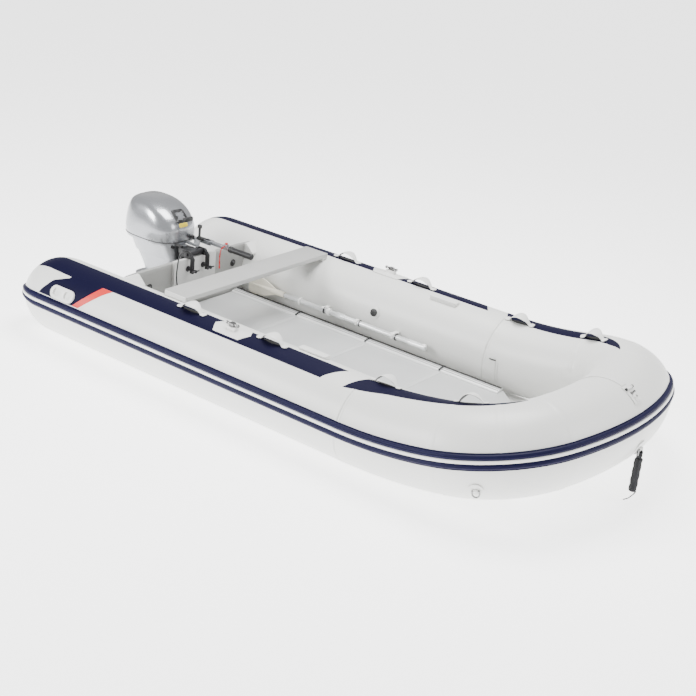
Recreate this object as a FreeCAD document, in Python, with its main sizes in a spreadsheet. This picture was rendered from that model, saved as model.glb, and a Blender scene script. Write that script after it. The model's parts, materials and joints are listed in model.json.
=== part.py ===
"""Inflatable dinghy with a slatted aluminium floor and a clamped outboard motor.

+X points to the bow, +Y to port and +Z up.  The origin is on the bottom of the keel strip, under the
forward face of the transom.  All sizes are in millimetres.
"""
import FreeCAD, Part
import Sketcher
import math
import os
import re
from FreeCAD import Placement, Rotation, Vector

# ------------------------------------------------------------------ driving dimensions
SIZES = {
    # air tubes: three chambers of coated fabric
    "tube_radius": 237.5,
    "fabric_wall": 1.2,
    "tube_spacing_half": 716.5,
    "stern_taper_start": -385.0,
    "stern_taper_radius": 300.0,
    "stern_cap_radius": 60.0,
    "sheer_start": 1935.0,
    "sheer_radius": 2690.0,
    "sheer_angle": 12.45,
    "bow_corner_radius": 393.0,
    "bow_corner_angle": 69.84,
    "glue_gap": 0.4,
    # rubbing strake
    "strake_angle": 7.3,
    "strake_half_width": 45.0,
    "strake_base": 5.0,
    "strake_rib": 17.0,
    "stripe_half_width": 9.5,
    "stripe_height": 7.0,
    "strake_wrap": 62.0,
    # navy patches
    "patch_thickness": 0.9,
    # hull bottom and keel
    "keel_strip_half": 90.0,
    "hull_join_angle": 45.0,
    "keel_radius": 42.0,
    "keel_length": 1900.0,
    # aluminium floor
    "floor_start": 16.0,
    "floor_half_width": 436.0,
    "floor_level": 130.0,
    "floor_skin": 2.5,
    "floor_depth": 16.0,
    "floor_rib_pitch": 54.0,
    "panel_length": 560.0,
    "joiner_width": 34.0,
    "bow_panel_length": 700.0,
    "bow_panel_nose_half": 190.0,
    "rail_width": 62.0,
    "rail_height": 22.0,
    "rail_length": 2100.0,
    # transom
    "transom_thickness": 28.0,
    "transom_top": 445.0,
    "transom_bottom": 1.8,
    "pad_half_width": 190.0,
    "pad_thickness": 22.0,
    "pad_bottom": 280.0,
    "pad_top": 460.0,
    "outer_pad_half_width": 150.0,
    "outer_pad_thickness": 3.0,
    "drain_offset": 385.0,
    "drain_height": 330.0,
    # seat
    "seat_aft": 398.0,
    "seat_width": 180.0,
    "seat_length": 1312.0,
    "seat_top": 503.0,
    "seat_skin": 2.5,
    "seat_flange": 27.0,
    "spare_holder_place": 1520.0,
    # fittings on the tubes
    "rowlock_place": 1025.0,
    "rowlock_angle": 82.0,
    "carry_handle_place": -180.0,
    "carry_handle_angle": 29.5,
    "valve_place": 1118.0,
    "valve_angle": 165.0,
    "valve_radius": 37.0,
    "handle_length": 215.0,
    "handle_width": 42.0,
    "handle_rise": 46.0,
    # oars, stowed along the inside of each tube
    "oar_start": 120.0,
    "oar_length": 1440.0,
    "oar_radius": 15.0,
    "oar_inset": 431.0,
    "oar_height": 218.0,
    "blade_length": 310.0,
    "blade_width": 136.0,
    # outboard: clamp bracket and tilt axis
    "tilt_x": 10.0,
    "tilt_z": 484.0,
    "tilt_pin_radius": 8.0,
    "bracket_inside": 62.0,
    "bracket_plate": 14.0,
    "clamp_screw_offset": 69.0,
    "clamp_screw_height": 392.0,
    "clamp_screw_radius": 8.0,
    # outboard: steering axis and leg
    "steer_x": -95.0,
    "steer_radius": 12.0,
    "swivel_radius": 27.0,
    "swivel_bottom": 318.0,
    "yoke_bottom": 270.0,
    "running_clearance": 0.05,
    "cowl_x": -305.0,
    "cowl_seam": 535.0,
    "cowl_length": 430.0,
    "cowl_width": 350.0,
    "cowl_height": 230.0,
    "cowl_wall": 3.5,
    "plate_level": 235.0,
    "leg_x": -285.0,
    "leg_length": 240.0,
    "leg_width": 104.0,
    "shaft_level": 115.0,
    "propeller_radius": 92.0,
    "skeg_bottom": 6.0,
    # tiller
    "tiller_y": 125.0,
    "tiller_z": 532.0,
    "tiller_pivot_x": 30.0,
    "tiller_arm_length": 165.0,
    "grip_length": 190.0,
    "grip_radius": 21.0,
}

doc = FreeCAD.newDocument("inflatable_dinghy")
sheet = doc.addObject("Spreadsheet::Sheet", "sizes")
for row, (alias, number) in enumerate(SIZES.items(), start=1):
    sheet.set(f"A{row}", alias.replace("_", " "))
    sheet.set(f"B{row}", str(number))
    sheet.setAlias(f"B{row}", alias)
doc.recompute()

nodes = {}


class Sizes:
    """The sheet's cells, read by alias."""

    def __getattr__(self, alias):
        return float(sheet.get(alias))


size = Sizes()


# ------------------------------------------------------------------ helpers for bound features
def formula(text):
    """Write the aliases in a formula as references to the sheet."""
    return re.sub(r"[a-z]\w+", lambda word: f"sizes.{word[0]}" if word[0] in SIZES else word[0], str(text))


def amount(text):
    """The present value of a formula."""
    return float(sheet.evalExpression(formula(text)))


def bind(item, **formulas):
    for prop, text in formulas.items():
        item.setExpression(prop, formula(text))


def place(item, base, rotation=None):
    """Put an item at a base point given as three formulas."""
    if rotation is not None:
        item.Placement = Placement(Vector(), rotation)
    for axis, text in zip("xyz", base):
        item.setExpression(f"Placement.Base.{axis}", formula(text))


TURN = {
    "x": Rotation(Vector(0, 0, 1), Vector(1, 0, 0)),
    "-x": Rotation(Vector(0, 0, 1), Vector(-1, 0, 0)),
    "y": Rotation(Vector(0, 0, 1), Vector(0, 1, 0)),
    "z": Rotation(),
    "-z": Rotation(Vector(1, 0, 0), 180),
}


def box(name, lengths, base):
    item = doc.addObject("Part::Box", name)
    bind(item, Length=lengths[0], Width=lengths[1], Height=lengths[2])
    place(item, base)
    return item


def cylinder(name, radius, height, base, axis="z"):
    item = doc.addObject("Part::Cylinder", name)
    bind(item, Radius=radius, Height=height)
    place(item, base, TURN[axis])
    return item


def fuse(name, items):
    item = doc.addObject("Part::MultiFuse", name)
    item.Shapes = items
    item.Refine = True
    return item


def cut(name, base, tools):
    """Take one or more tools out of a base."""
    tool = tools[0] if len(tools) == 1 else fuse(f"{name}_tools", tools)
    item = doc.addObject("Part::Cut", name)
    item.Base = base
    item.Tool = tool
    return item


def mirrored(name, source):
    """The same item on the other side of the centre line."""
    item = doc.addObject("Part::Mirroring", name)
    item.Source = source
    item.Base = Vector()
    item.Normal = Vector(0, 1, 0)
    return item


def group(name, items):
    item = doc.addObject("Part::Compound", name)
    item.Links = items
    return item


def node(name, item):
    """Name an item as one of the boat's parts."""
    item.Label = name
    nodes[name] = item
    return item


def feature(name, shape):
    item = doc.addObject("Part::Feature", name)
    item.Shape = shape
    return item


def new_body(name, base=("0", "0", "0"), rotation=None):
    body = doc.addObject("PartDesign::Body", name)
    place(body, base, rotation)
    return body


def outline(body, role, corners, name):
    """A closed outline of straight edges in one of the body's planes, each corner bound to formulas."""
    sketch = body.newObject("Sketcher::SketchObject", name)
    plane = next(item for item in body.Origin.OriginFeatures if item.Role == role)
    sketch.AttachmentSupport = [(plane, "")]
    sketch.MapMode = "FlatFace"
    points = [Vector(amount(across), amount(along), 0) for across, along in corners]
    count = len(points)
    for index in range(count):
        sketch.addGeometry(Part.LineSegment(points[index], points[(index + 1) % count]), False)
    for index in range(count):
        sketch.addConstraint(Sketcher.Constraint("Coincident", index, 2, (index + 1) % count, 1))
    for index, corner in enumerate(corners):
        for kind, text, where, axis in (
            ("DistanceX", corner[0], points[index].x, -2),
            ("DistanceY", corner[1], points[index].y, -1),
        ):
            if text == "0":
                sketch.addConstraint(Sketcher.Constraint("PointOnObject", index, 1, axis))
                continue
            number = sketch.addConstraint(Sketcher.Constraint(kind, -1, 1, index, 1, where))
            sketch.setExpression(f"Constraints[{number}]", formula(text))
    return sketch


def padded(name, role, corners, length, base=("0", "0", "0"), rotation=None, midplane=True):
    """A body padded from an outline, by default to both sides of its plane."""
    body = new_body(name, base, rotation)
    sketch = outline(body, role, corners, f"{name}_outline")
    pad = body.newObject("PartDesign::Pad", f"{name}_pad")
    pad.Profile = sketch
    if midplane:
        pad.SideType = "Symmetric"
    bind(pad, Length=length)
    return body


def revolved(name, corners, base=("0", "0", "0"), rotation=None):
    """A body turned about its own X axis from an outline of (along, radius) corners."""
    body = new_body(name, base, rotation)
    sketch = outline(body, "XY_Plane", corners, f"{name}_profile")
    turn = body.newObject("PartDesign::Revolution", f"{name}_turn")
    turn.Profile = sketch
    turn.ReferenceAxis = (sketch, ["H_Axis"])
    turn.Angle = 360.0
    return body


# ------------------------------------------------------------------ the tubes' centre line
class Stretch:
    """One stretch of the starboard centre line: straight, or an arc about an axis."""

    def __init__(self, start, along, out, up, length=0.0, centre=None, axis=None, angle=0.0):
        self.start, self.along, self.out, self.up = start, along, out, up
        self.length, self.centre, self.axis, self.angle = length, centre, axis, angle

    def frame(self, share):
        """Position, direction, outward and upward at a share of the stretch."""
        if self.centre is None:
            return self.start + self.along * (self.length * share), self.along, self.out, self.up
        turn = Rotation(self.axis, self.angle * share)
        spot = self.centre + turn.multVec(self.start - self.centre)
        return spot, turn.multVec(self.along), turn.multVec(self.out), turn.multVec(self.up)

    def part(self, first, last):
        """The piece of this stretch between two shares."""
        spot, along, out, up = self.frame(first)
        share = last - first
        return Stretch(spot, along, out, up, self.length * share, self.centre, self.axis, self.angle * share)

    def sweep(self, face):
        """Carry a face, drawn across the start, to the end of the stretch."""
        if self.centre is None:
            return face.extrude(self.along * self.length)
        return face.revolve(self.centre, self.axis, self.angle)


def centre_line():
    """Straight side, sheer, tight bow corner and flat bow arc, as far as the centre plane."""
    out, up, ahead = Vector(0, -1, 0), Vector(0, 0, 1), Vector(1, 0, 0)
    start = Vector(size.stern_taper_start, -size.tube_spacing_half, size.tube_radius)
    side = Stretch(start, ahead, out, up, size.sheer_start - size.stern_taper_start)
    start = side.frame(1)[0]
    sheer = Stretch(start, ahead, out, up, 0, start + up * size.sheer_radius, Vector(0, -1, 0), size.sheer_angle)
    start, ahead, out, up = sheer.frame(1)
    corner = Stretch(start, ahead, out, up, 0, start - out * size.bow_corner_radius, up, size.bow_corner_angle)
    start, ahead, out, up = corner.frame(1)
    angle = math.radians(size.bow_corner_angle)
    bow_radius = (size.tube_spacing_half - size.bow_corner_radius * (1 - math.cos(angle))) / math.cos(angle)
    front = Stretch(start, ahead, out, up, 0, start - out * bow_radius, up, 90 - size.bow_corner_angle)
    return side, sheer, corner, front


side, sheer, corner, front = centre_line()


def polar(frame, radius, degrees):
    """A point across the tube, at an angle from outward towards up."""
    spot, _, out, up = frame
    angle = math.radians(degrees)
    return spot + out * (radius * math.cos(angle)) + up * (radius * math.sin(angle))


def sector(frame, low_radius, high_radius, first, last):
    """The face between two radii and two angles."""
    middle = (first + last) / 2
    edges = [
        Part.Arc(*[polar(frame, low_radius, a) for a in (first, middle, last)]).toShape(),
        Part.LineSegment(polar(frame, low_radius, last), polar(frame, high_radius, last)).toShape(),
        Part.Arc(*[polar(frame, high_radius, a) for a in (last, middle, first)]).toShape(),
        Part.LineSegment(polar(frame, high_radius, first), polar(frame, low_radius, first)).toShape(),
    ]
    return Part.Face(Part.Wire(edges))


def disc(frame, radius):
    """The face of a full circle across the tube."""
    return Part.Face(Part.Wire(Part.Circle(frame[0], frame[1], radius).toShape()))


def to_port(shape):
    return shape.mirror(Vector(), Vector(0, 1, 0))


def both_sides(shapes):
    return shapes + [to_port(shape) for shape in shapes]


def at_distance(distance):
    """The frame at a distance forward of the transom, measured along the starboard centre line."""
    left = distance - size.stern_taper_start
    for stretch in (side, sheer, corner, front):
        run = stretch.length
        if stretch.centre is not None:
            run = math.radians(stretch.angle) * (stretch.start - stretch.centre).Length
        if left <= run:
            return stretch.frame(left / run)
        left -= run
    return front.frame(1)


def on_tube(shape, distance, degrees, lift=0.0):
    """Move a shape drawn on the XY plane, +X forward and +Z outward, onto the starboard tube."""
    frame = at_distance(distance)
    spot = polar(frame, size.tube_radius + lift, degrees)
    outward = (polar(frame, 1, degrees) - frame[0]).normalize()
    around = outward.cross(frame[1])
    matrix = FreeCAD.Matrix(
        frame[1].x, around.x, outward.x, spot.x,
        frame[1].y, around.y, outward.y, spot.y,
        frame[1].z, around.z, outward.z, spot.z,
        0, 0, 0, 1,
    )
    return shape.transformed(matrix)


# ------------------------------------------------------------------ air tubes
# Side chambers: a straight wall, a rounded taper and a flat cap at the stern, an inner bulkhead forward.
def side_tube(name):
    body = new_body(f"{name}_body", ("0", "-tube_spacing_half", "tube_radius"))
    sketch = body.newObject("Sketcher::SketchObject", f"{name}_wall")
    plane = next(item for item in body.Origin.OriginFeatures if item.Role == "XY_Plane")
    sketch.AttachmentSupport = [(plane, "")]
    sketch.MapMode = "FlatFace"
    wall = size.fabric_wall
    centre = Vector(size.stern_taper_start, size.tube_radius - size.stern_taper_radius, 0)

    def taper(radius, cap):
        """Points of the taper's arc, from the straight side to the cap."""
        last = math.pi - math.asin((cap - centre.y) / radius)
        return [centre + Vector(radius * math.cos(a), radius * math.sin(a), 0) for a in
                (math.pi / 2, (math.pi / 2 + last) / 2, last)]

    outer = taper(size.stern_taper_radius, size.stern_cap_radius)
    inner = taper(size.stern_taper_radius - wall, size.stern_cap_radius)
    fore = size.sheer_start
    corners = [outer[2], Vector(outer[2].x, 0, 0), Vector(outer[2].x + wall, 0, 0)]
    inner[2] = Vector(outer[2].x + wall, inner[2].y, 0)
    route = [
        Part.LineSegment(corners[0], corners[1]),
        Part.LineSegment(corners[1], corners[2]),
        Part.LineSegment(corners[2], inner[2]),
        Part.Arc(inner[2], inner[1], inner[0]),
        Part.LineSegment(inner[0], Vector(fore - wall, inner[0].y, 0)),
        Part.LineSegment(Vector(fore - wall, inner[0].y, 0), Vector(fore - wall, 0, 0)),
        Part.LineSegment(Vector(fore - wall, 0, 0), Vector(fore, 0, 0)),
        Part.LineSegment(Vector(fore, 0, 0), Vector(fore, outer[0].y, 0)),
        Part.LineSegment(Vector(fore, outer[0].y, 0), outer[0]),
        Part.Arc(outer[0], outer[1], outer[2]),
    ]
    sketch.addGeometry(route, False)
    turn = body.newObject("PartDesign::Revolution", f"{name}_turn")
    turn.Profile = sketch
    turn.ReferenceAxis = (sketch, ["H_Axis"])
    turn.Angle = 360.0
    return body


starboard_tube = node("starboard_tube", side_tube("starboard_tube"))
node("port_tube", mirrored("port_tube", starboard_tube))

# Bow chamber: gores welded end to end, each a short length of tube wall.
GORES = ((sheer, 2), (corner, 4), (front, 2))


def bow_gores():
    gores = []
    for stretch, count in GORES:
        for number in range(count):
            piece = stretch.part(number / count, (number + 1) / count)
            outer, inner = [piece.sweep(disc(piece.frame(0), size.tube_radius - wall))
                            for wall in (0, size.fabric_wall)]
            gores.append(outer.cut(inner).Solids[0])
    return both_sides(gores)


node("bow_tube", feature("bow_tube", Part.makeCompound(bow_gores())))


# ------------------------------------------------------------------ rubbing strake
# A moulded strip with two ribs, and a white stripe in the valley between them, glued round the tubes a little
# above their middle in butt-jointed lengths.  It wraps the stern taper.
def taper_axes():
    """Centre, upward and outward of the arc the strake follows round the stern taper."""
    start = side.frame(0)
    angle = math.radians(size.strake_angle)
    out = start[2] * math.cos(angle) + start[3] * math.sin(angle)
    up = start[3] * math.cos(angle) - start[2] * math.sin(angle)
    centre = start[0] + out * (size.tube_radius - size.stern_taper_radius)
    return centre, up, out


def strake_section(frame, base):
    """The navy strip's outline: a base with two rounded ribs."""
    half = math.degrees(size.strake_half_width / size.tube_radius)
    valley = math.degrees(size.stripe_half_width / size.tube_radius) + 0.15
    low, flat, crest = base + size.glue_gap, base + size.strake_base, base + size.strake_rib
    middle = size.strake_angle

    def spot(radius, degrees):
        return polar(frame, radius, middle + degrees)

    ribs = (-half + 0.6, -valley), (valley, half - 0.6)
    edges = [
        Part.Arc(spot(low, half), spot(low, 0), spot(low, -half)).toShape(),
        Part.LineSegment(spot(low, -half), spot(flat, -half)).toShape(),
        Part.LineSegment(spot(flat, -half), spot(flat, ribs[0][0])).toShape(),
        Part.Arc(spot(flat, ribs[0][0]), spot(crest, sum(ribs[0]) / 2), spot(flat, ribs[0][1])).toShape(),
        Part.Arc(spot(flat, -valley), spot(flat, 0), spot(flat, valley)).toShape(),
        Part.Arc(spot(flat, ribs[1][0]), spot(crest, sum(ribs[1]) / 2), spot(flat, ribs[1][1])).toShape(),
        Part.LineSegment(spot(flat, ribs[1][1]), spot(flat, half)).toShape(),
        Part.LineSegment(spot(flat, half), spot(low, half)).toShape(),
    ]
    return Part.Face(Part.Wire(edges))


def stripe_section(frame, base):
    half = math.degrees(size.stripe_half_width / size.tube_radius)
    low = base + size.strake_base + size.glue_gap
    return sector(frame, low, low + size.stripe_height, size.strake_angle - half, size.strake_angle + half)


def strake_lengths(section):
    lengths = []
    centre, up, out = taper_axes()
    wrap = section(side.frame(0), size.tube_radius).revolve(centre, up * -1, size.strake_wrap)
    lengths.append(wrap)
    for stretch, count in ((side, 1), (sheer, 1), (corner, 3), (front, 2)):
        for number in range(count):
            piece = stretch.part(number / count, (number + 1) / count)
            lengths.append(piece.sweep(section(piece.frame(0), size.tube_radius)))
    return Part.makeCompound(both_sides(lengths))


node("rubbing_strake", feature("rubbing_strake", strake_lengths(strake_section)))
node("strake_stripe", feature("strake_stripe", strake_lengths(stripe_section)))


# ------------------------------------------------------------------ coloured wear patches
# Thin sheets glued to the top of the tubes.  The stern panel is cut to a shape drawn in side view.
def patch_band(first, last, low, high):
    """A band along the straight side, between two places and two angles."""
    base = size.tube_radius + size.glue_gap
    frame = (Vector(first, -size.tube_spacing_half, size.tube_radius), side.along, side.out, side.up)
    return sector(frame, base, base + size.patch_thickness, low, high).extrude(side.along * (last - first))


def side_cut(points):
    """A prism across the starboard half, from an outline in side view."""
    corners = [Vector(x, -2 * size.tube_spacing_half, z) for x, z in points]
    return Part.Face(Part.makePolygon(corners + corners[:1])).extrude(Vector(0, size.tube_spacing_half, 0))


def height_at(degrees):
    """Height of the tube's surface at an angle above its outer side."""
    return size.tube_radius * (1 + math.sin(math.radians(degrees)))


BAND_LOW, BAND_HIGH = 63.0, 94.0
PANEL_LOW = size.strake_angle + 11.6
stern_panel = patch_band(-380, 128, PANEL_LOW, BAND_HIGH).common(side_cut([
    (-384, height_at(BAND_HIGH) + 90), (-384, height_at(60)), (-205, height_at(57)), (-300, height_at(42)),
    (-345, height_at(PANEL_LOW - 3)), (-78, height_at(PANEL_LOW - 3)), (-40, height_at(36)),
    (30, height_at(51)), (128, height_at(60)), (128, height_at(BAND_HIGH) + 90),
]))
side_band = patch_band(128.5, 1715, BAND_LOW, BAND_HIGH)
fore_band = patch_band(1865, size.sheer_start - 0.5, BAND_LOW, BAND_HIGH)


def bow_band():
    """The band carried up the sheer, narrowing towards the bow."""
    base = size.tube_radius + size.glue_gap
    pieces = []
    for stretch, first, last, low, high in (
        (sheer, 0, 1, BAND_LOW, BAND_HIGH),
        (corner, 0, 0.12, BAND_LOW + 4, BAND_HIGH),
        (corner, 0.12, 0.24, BAND_LOW + 10, BAND_HIGH),
    ):
        piece = stretch.part(first, last)
        pieces.append(piece.sweep(sector(piece.frame(0), base, base + size.patch_thickness, low, high)))
    return pieces


node("navy_patches", feature("navy_patches", Part.makeCompound(
    both_sides([stern_panel, side_band, fore_band] + bow_band()))))

accent = patch_band(-75, 170, PANEL_LOW, BAND_LOW - 0.3).common(side_cut([
    (-76, height_at(PANEL_LOW - 3)), (-37, height_at(36)), (33, height_at(51)), (132, height_at(60)),
    (132, height_at(90)), (176, height_at(90)), (176, height_at(62)), (70, height_at(51)),
    (3, height_at(36)), (-38, height_at(PANEL_LOW - 3)),
]))
node("accent_stripes", feature("accent_stripes", Part.makeCompound(both_sides([accent]))))


# ------------------------------------------------------------------ hull bottom and keel
# Fabric bottom: a shallow V between the lower inner sides of the tubes, with a flat strip along the keel.
def bottom_section(frame):
    """The closed outline of the bottom across the boat, at one frame of the starboard centre line."""
    angle = math.radians(180 + size.hull_join_angle)
    reach = size.tube_radius + 4.2
    edge = polar(frame, reach, math.degrees(angle))
    lift = frame[0].z - size.tube_radius
    keel_half = min(size.keel_strip_half, abs(edge.y) * 0.45)
    wall = size.fabric_wall
    half = [Vector(edge.x, edge.y, edge.z), Vector(edge.x, -keel_half, lift)]
    lower = half + [Vector(edge.x, -point.y, point.z) for point in reversed(half)]
    upper = [point + Vector(0, 0, wall) for point in reversed(lower)]
    return Part.makePolygon(lower + upper + lower[:1])


BOTTOM_PLACES = (-20.0, size.sheer_start)
bottom_frames = [at_distance(place_x) for place_x in BOTTOM_PLACES]
bottom_frames += [sheer.frame(share) for share in (0.5, 1.0)]
bottom_frames += [corner.frame(share) for share in (0.3, 0.55)]
bottom_frames[0] = (Vector(-20, -size.tube_spacing_half, size.tube_radius), side.along, side.out, side.up)
strips = []
for number in range(len(bottom_frames) - 1):
    pair = [bottom_section(frame) for frame in bottom_frames[number:number + 2]]
    strips.append(Part.makeLoft(pair, True, True))
node("hull_bottom", feature("hull_bottom", Part.makeCompound(strips)))

# Inflatable keel: a closed fabric sausage between the bottom and the floor, pointed forward.
keel_outer = revolved("keel_outer", [
    ("0", "0"), ("0", "keel_radius"), ("keel_length - 300", "keel_radius"), ("keel_length", "keel_radius * 0.3"),
    ("keel_length", "0"),
], ("60", "0", "keel_radius + fabric_wall + glue_gap"))
keel_air = revolved("keel_air", [
    ("fabric_wall", "0"), ("fabric_wall", "keel_radius - fabric_wall"),
    ("keel_length - 300", "keel_radius - fabric_wall"), ("keel_length - fabric_wall", "keel_radius * 0.3 - fabric_wall"),
    ("keel_length - fabric_wall", "0"),
], ("60", "0", "keel_radius + fabric_wall + glue_gap"))
node("inflatable_keel", cut("inflatable_keel", keel_outer, [keel_air]))


# ------------------------------------------------------------------ aluminium floor
# Boards extruded with ribs underneath, joined by H strips and held by a rail along each side.
def floor_panel(name, start):
    """A rectangular board with ribs running fore and aft."""
    body = new_body(f"{name}_body", (start, "0", "floor_level - floor_skin"))
    skin = outline(body, "XY_Plane", [
        ("0", "-floor_half_width"), ("panel_length", "-floor_half_width"),
        ("panel_length", "floor_half_width"), ("0", "floor_half_width"),
    ], f"{name}_skin")
    pad = body.newObject("PartDesign::Pad", f"{name}_skin_pad")
    pad.Profile = skin
    bind(pad, Length="floor_skin")
    rib = outline(body, "XY_Plane", [
        ("0", "-floor_half_width"), ("panel_length", "-floor_half_width"),
        ("panel_length", "-floor_half_width + floor_skin"), ("0", "-floor_half_width + floor_skin"),
    ], f"{name}_rib")
    rib_pad = body.newObject("PartDesign::Pad", f"{name}_rib_pad")
    rib_pad.Profile = rib
    rib_pad.Reversed = True
    bind(rib_pad, Length="floor_depth - floor_skin")
    doc.recompute()
    pattern = body.newObject("PartDesign::LinearPattern", f"{name}_ribs")
    pattern.Originals = [rib_pad]
    pattern.Direction = (rib, ["V_Axis"])
    pattern.Mode = "Extent"
    count = int((2 * size.floor_half_width - size.floor_skin) // size.floor_rib_pitch)
    bind(pattern, Length="floor_half_width * 2 - floor_skin")
    pattern.Occurrences = count + 1
    body.Tip = pattern
    return body


node("floor_panels", group("floor_panels", [
    floor_panel(f"floor_panel_{number}", f"floor_start + {number} * (panel_length + 4)") for number in range(3)]))

# Bow board: cut to a blunt point under the bow, stiffened by its edge only.
bow_start = "floor_start + 3 * (panel_length + 4)"
bow_board = new_body("bow_floor_body", (bow_start, "0", "floor_level - floor_depth * 0.5"))
board = outline(bow_board, "XY_Plane", [
    ("0", "-floor_half_width"), ("bow_panel_length * 0.6", "-floor_half_width"),
    ("bow_panel_length", "-bow_panel_nose_half"), ("bow_panel_length", "bow_panel_nose_half"),
    ("bow_panel_length * 0.6", "floor_half_width"), ("0", "floor_half_width"),
], "bow_floor_outline")
board_pad = bow_board.newObject("PartDesign::Pad", "bow_floor_pad")
board_pad.Profile = board
bind(board_pad, Length="floor_depth * 0.5")
node("bow_floor_panel", bow_board)

# Rails: a C section along each side of the boards, and a flat joiner over each board joint.
rail = padded("floor_rail", "YZ_Plane", [
    ("-floor_half_width - 4", "floor_level - floor_depth - 3"), ("-floor_half_width - 0.3", "floor_level - floor_depth - 3"),
    ("-floor_half_width - 0.3", "floor_level + 0.3"), ("-floor_half_width + rail_width", "floor_level + 0.3"),
    ("-floor_half_width + rail_width", "floor_level + 3"), ("-floor_half_width + 3", "floor_level + rail_height - 8"),
    ("-floor_half_width - 4", "floor_level + rail_height - 8"),
], "rail_length", ("floor_start + rail_length / 2 + 2", "0", "0"))
joiners = [
    box(f"joiner_{number}", ("joiner_width", "2 * (floor_half_width - rail_width - 2)", "2.4"),
        (f"floor_start + {number} * (panel_length + 4) - 2 - joiner_width / 2",
         "-(floor_half_width - rail_width - 2)", "floor_level + 0.2"))
    for number in (1, 2, 3)
]
node("floor_rails", group("floor_rails", [rail, mirrored("floor_rail_port", rail)] + joiners))


# ------------------------------------------------------------------ transom
# A board between the tubes, hollowed at each side to the tube's round.
CHINE_HEIGHT = "(tube_radius - (tube_radius + 4.2) * 0.7071)"
CHINE_OFFSET = "(tube_spacing_half - (tube_radius + 4.2) * 0.7071)"
DEADRISE = f"{CHINE_HEIGHT} * (612 - keel_strip_half) / ({CHINE_OFFSET} - keel_strip_half)"
board = padded("transom_board", "YZ_Plane", [
    ("-612", f"transom_bottom + {DEADRISE}"), ("-keel_strip_half", "transom_bottom"),
    ("keel_strip_half", "transom_bottom"), ("612", f"transom_bottom + {DEADRISE}"), ("612", "transom_top - 22"), ("560", "transom_top - 6"),
    ("440", "transom_top"), ("-440", "transom_top"), ("-560", "transom_top - 6"), ("-612", "transom_top - 22"),
], "transom_thickness", ("-transom_thickness / 2", "0", "0"))
hollows = [
    cylinder(f"tube_hollow_{index}", "tube_radius + glue_gap + 1.2", "transom_thickness + 200",
             ("-150", f"{sign}tube_spacing_half", "tube_radius"), "x")
    for index, sign in enumerate(("-", ""))
]
node("transom", cut("transom", board, hollows))

inner_pad = padded("inner_pad", "YZ_Plane", [
    ("-pad_half_width", "pad_bottom + 14"), ("-pad_half_width + 14", "pad_bottom"),
    ("pad_half_width - 14", "pad_bottom"), ("pad_half_width", "pad_bottom + 14"),
    ("pad_half_width", "pad_top"), ("-pad_half_width", "pad_top"),
], "pad_thickness", ("pad_thickness / 2 + 0.2", "0", "0"))
outer_pad = box("outer_pad", ("outer_pad_thickness", "2 * outer_pad_half_width", "transom_top - 250"),
                ("-transom_thickness - outer_pad_thickness - 0.2", "-outer_pad_half_width", "250"))
node("motor_pads", group("motor_pads", [inner_pad, outer_pad]))

# Moulded holders that tie the transom's top corners to the tubes, and a web below each.
holders = []
for index, sign in enumerate(("-", "")):
    corner_block = padded(f"holder_block_{index}", "XZ_Plane", [
        ("0.4", "transom_top - 95"), ("74", "transom_top - 62"), ("74", "transom_top - 50"),
        ("20", "transom_top + 2"), ("0.4", "transom_top + 2"),
    ], "112", ("0", f"{sign}548", "0"))
    hollow = cylinder(f"holder_hollow_{index}", "tube_radius + glue_gap + 0.6", "300",
                      ("-150", f"{sign}tube_spacing_half", "tube_radius"), "x")
    holders.append(cut(f"transom_holder_{index}", corner_block, [hollow]))
node("transom_holders", group("transom_holders", holders))

# Drain plugs: a flanged sleeve through the transom with a ribbed bung in it.
drains = [
    revolved(f"drain_plug_{index}", [
        ("0.3", "0"), ("0.3", "24"), ("3.5", "24"), ("5", "21"), ("5", "13"), ("12", "11"), ("14", "8"), ("14", "0"),
    ], ("0", f"{sign}drain_offset", "drain_height"))
    for index, sign in enumerate(("-", ""))
]
node("drain_plugs", group("drain_plugs", drains))


# ------------------------------------------------------------------ seat
# Folded aluminium bench resting on the tops of the tubes, kept by a rubber holder at each end.
node("seat", padded("seat_body", "XZ_Plane", [
    ("0", "-seat_flange"), ("seat_skin", "-seat_flange"), ("seat_skin", "-seat_skin"),
    ("seat_width - seat_skin", "-seat_skin"), ("seat_width - seat_skin", "-seat_flange"),
    ("seat_width", "-seat_flange"), ("seat_width", "0"), ("0", "0"),
], "seat_length", ("seat_aft", "0", "seat_top")))


def saddle(place_x, length, top):
    """A rubber pad on the inner top of the starboard tube with a flat upper face."""
    width, depth = 46.0, 60.0
    block = Part.makeBox(length, width, depth, Vector(-length / 2, -width / 2, -depth))
    block.translate(Vector(place_x, -size.tube_spacing_half + 78, top))
    hollow = Part.makeCylinder(size.tube_radius + size.glue_gap + 1.4, 4000,
                               Vector(-1000, -size.tube_spacing_half, size.tube_radius), Vector(1, 0, 0))
    return block.cut(hollow)


seat_middle = size.seat_aft + size.seat_width / 2
under_seat = saddle(seat_middle, size.seat_width - 2 * size.seat_skin - 8, size.seat_top - size.seat_skin - 0.4)
spare = saddle(size.spare_holder_place, 190, size.tube_radius * 2 + 6)
node("seat_holders", feature("seat_holders", Part.makeCompound(both_sides([under_seat, spare]))))


# ------------------------------------------------------------------ grab handles
# Arched rubber straps with a pad at each end, four along the top of each tube.
HANDLE_PLACES = (690.0, 1290.0, 2045.0, 2605.0)
HANDLE_ANGLES = (87.0, 89.0, 99.0, 102.0)


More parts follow.
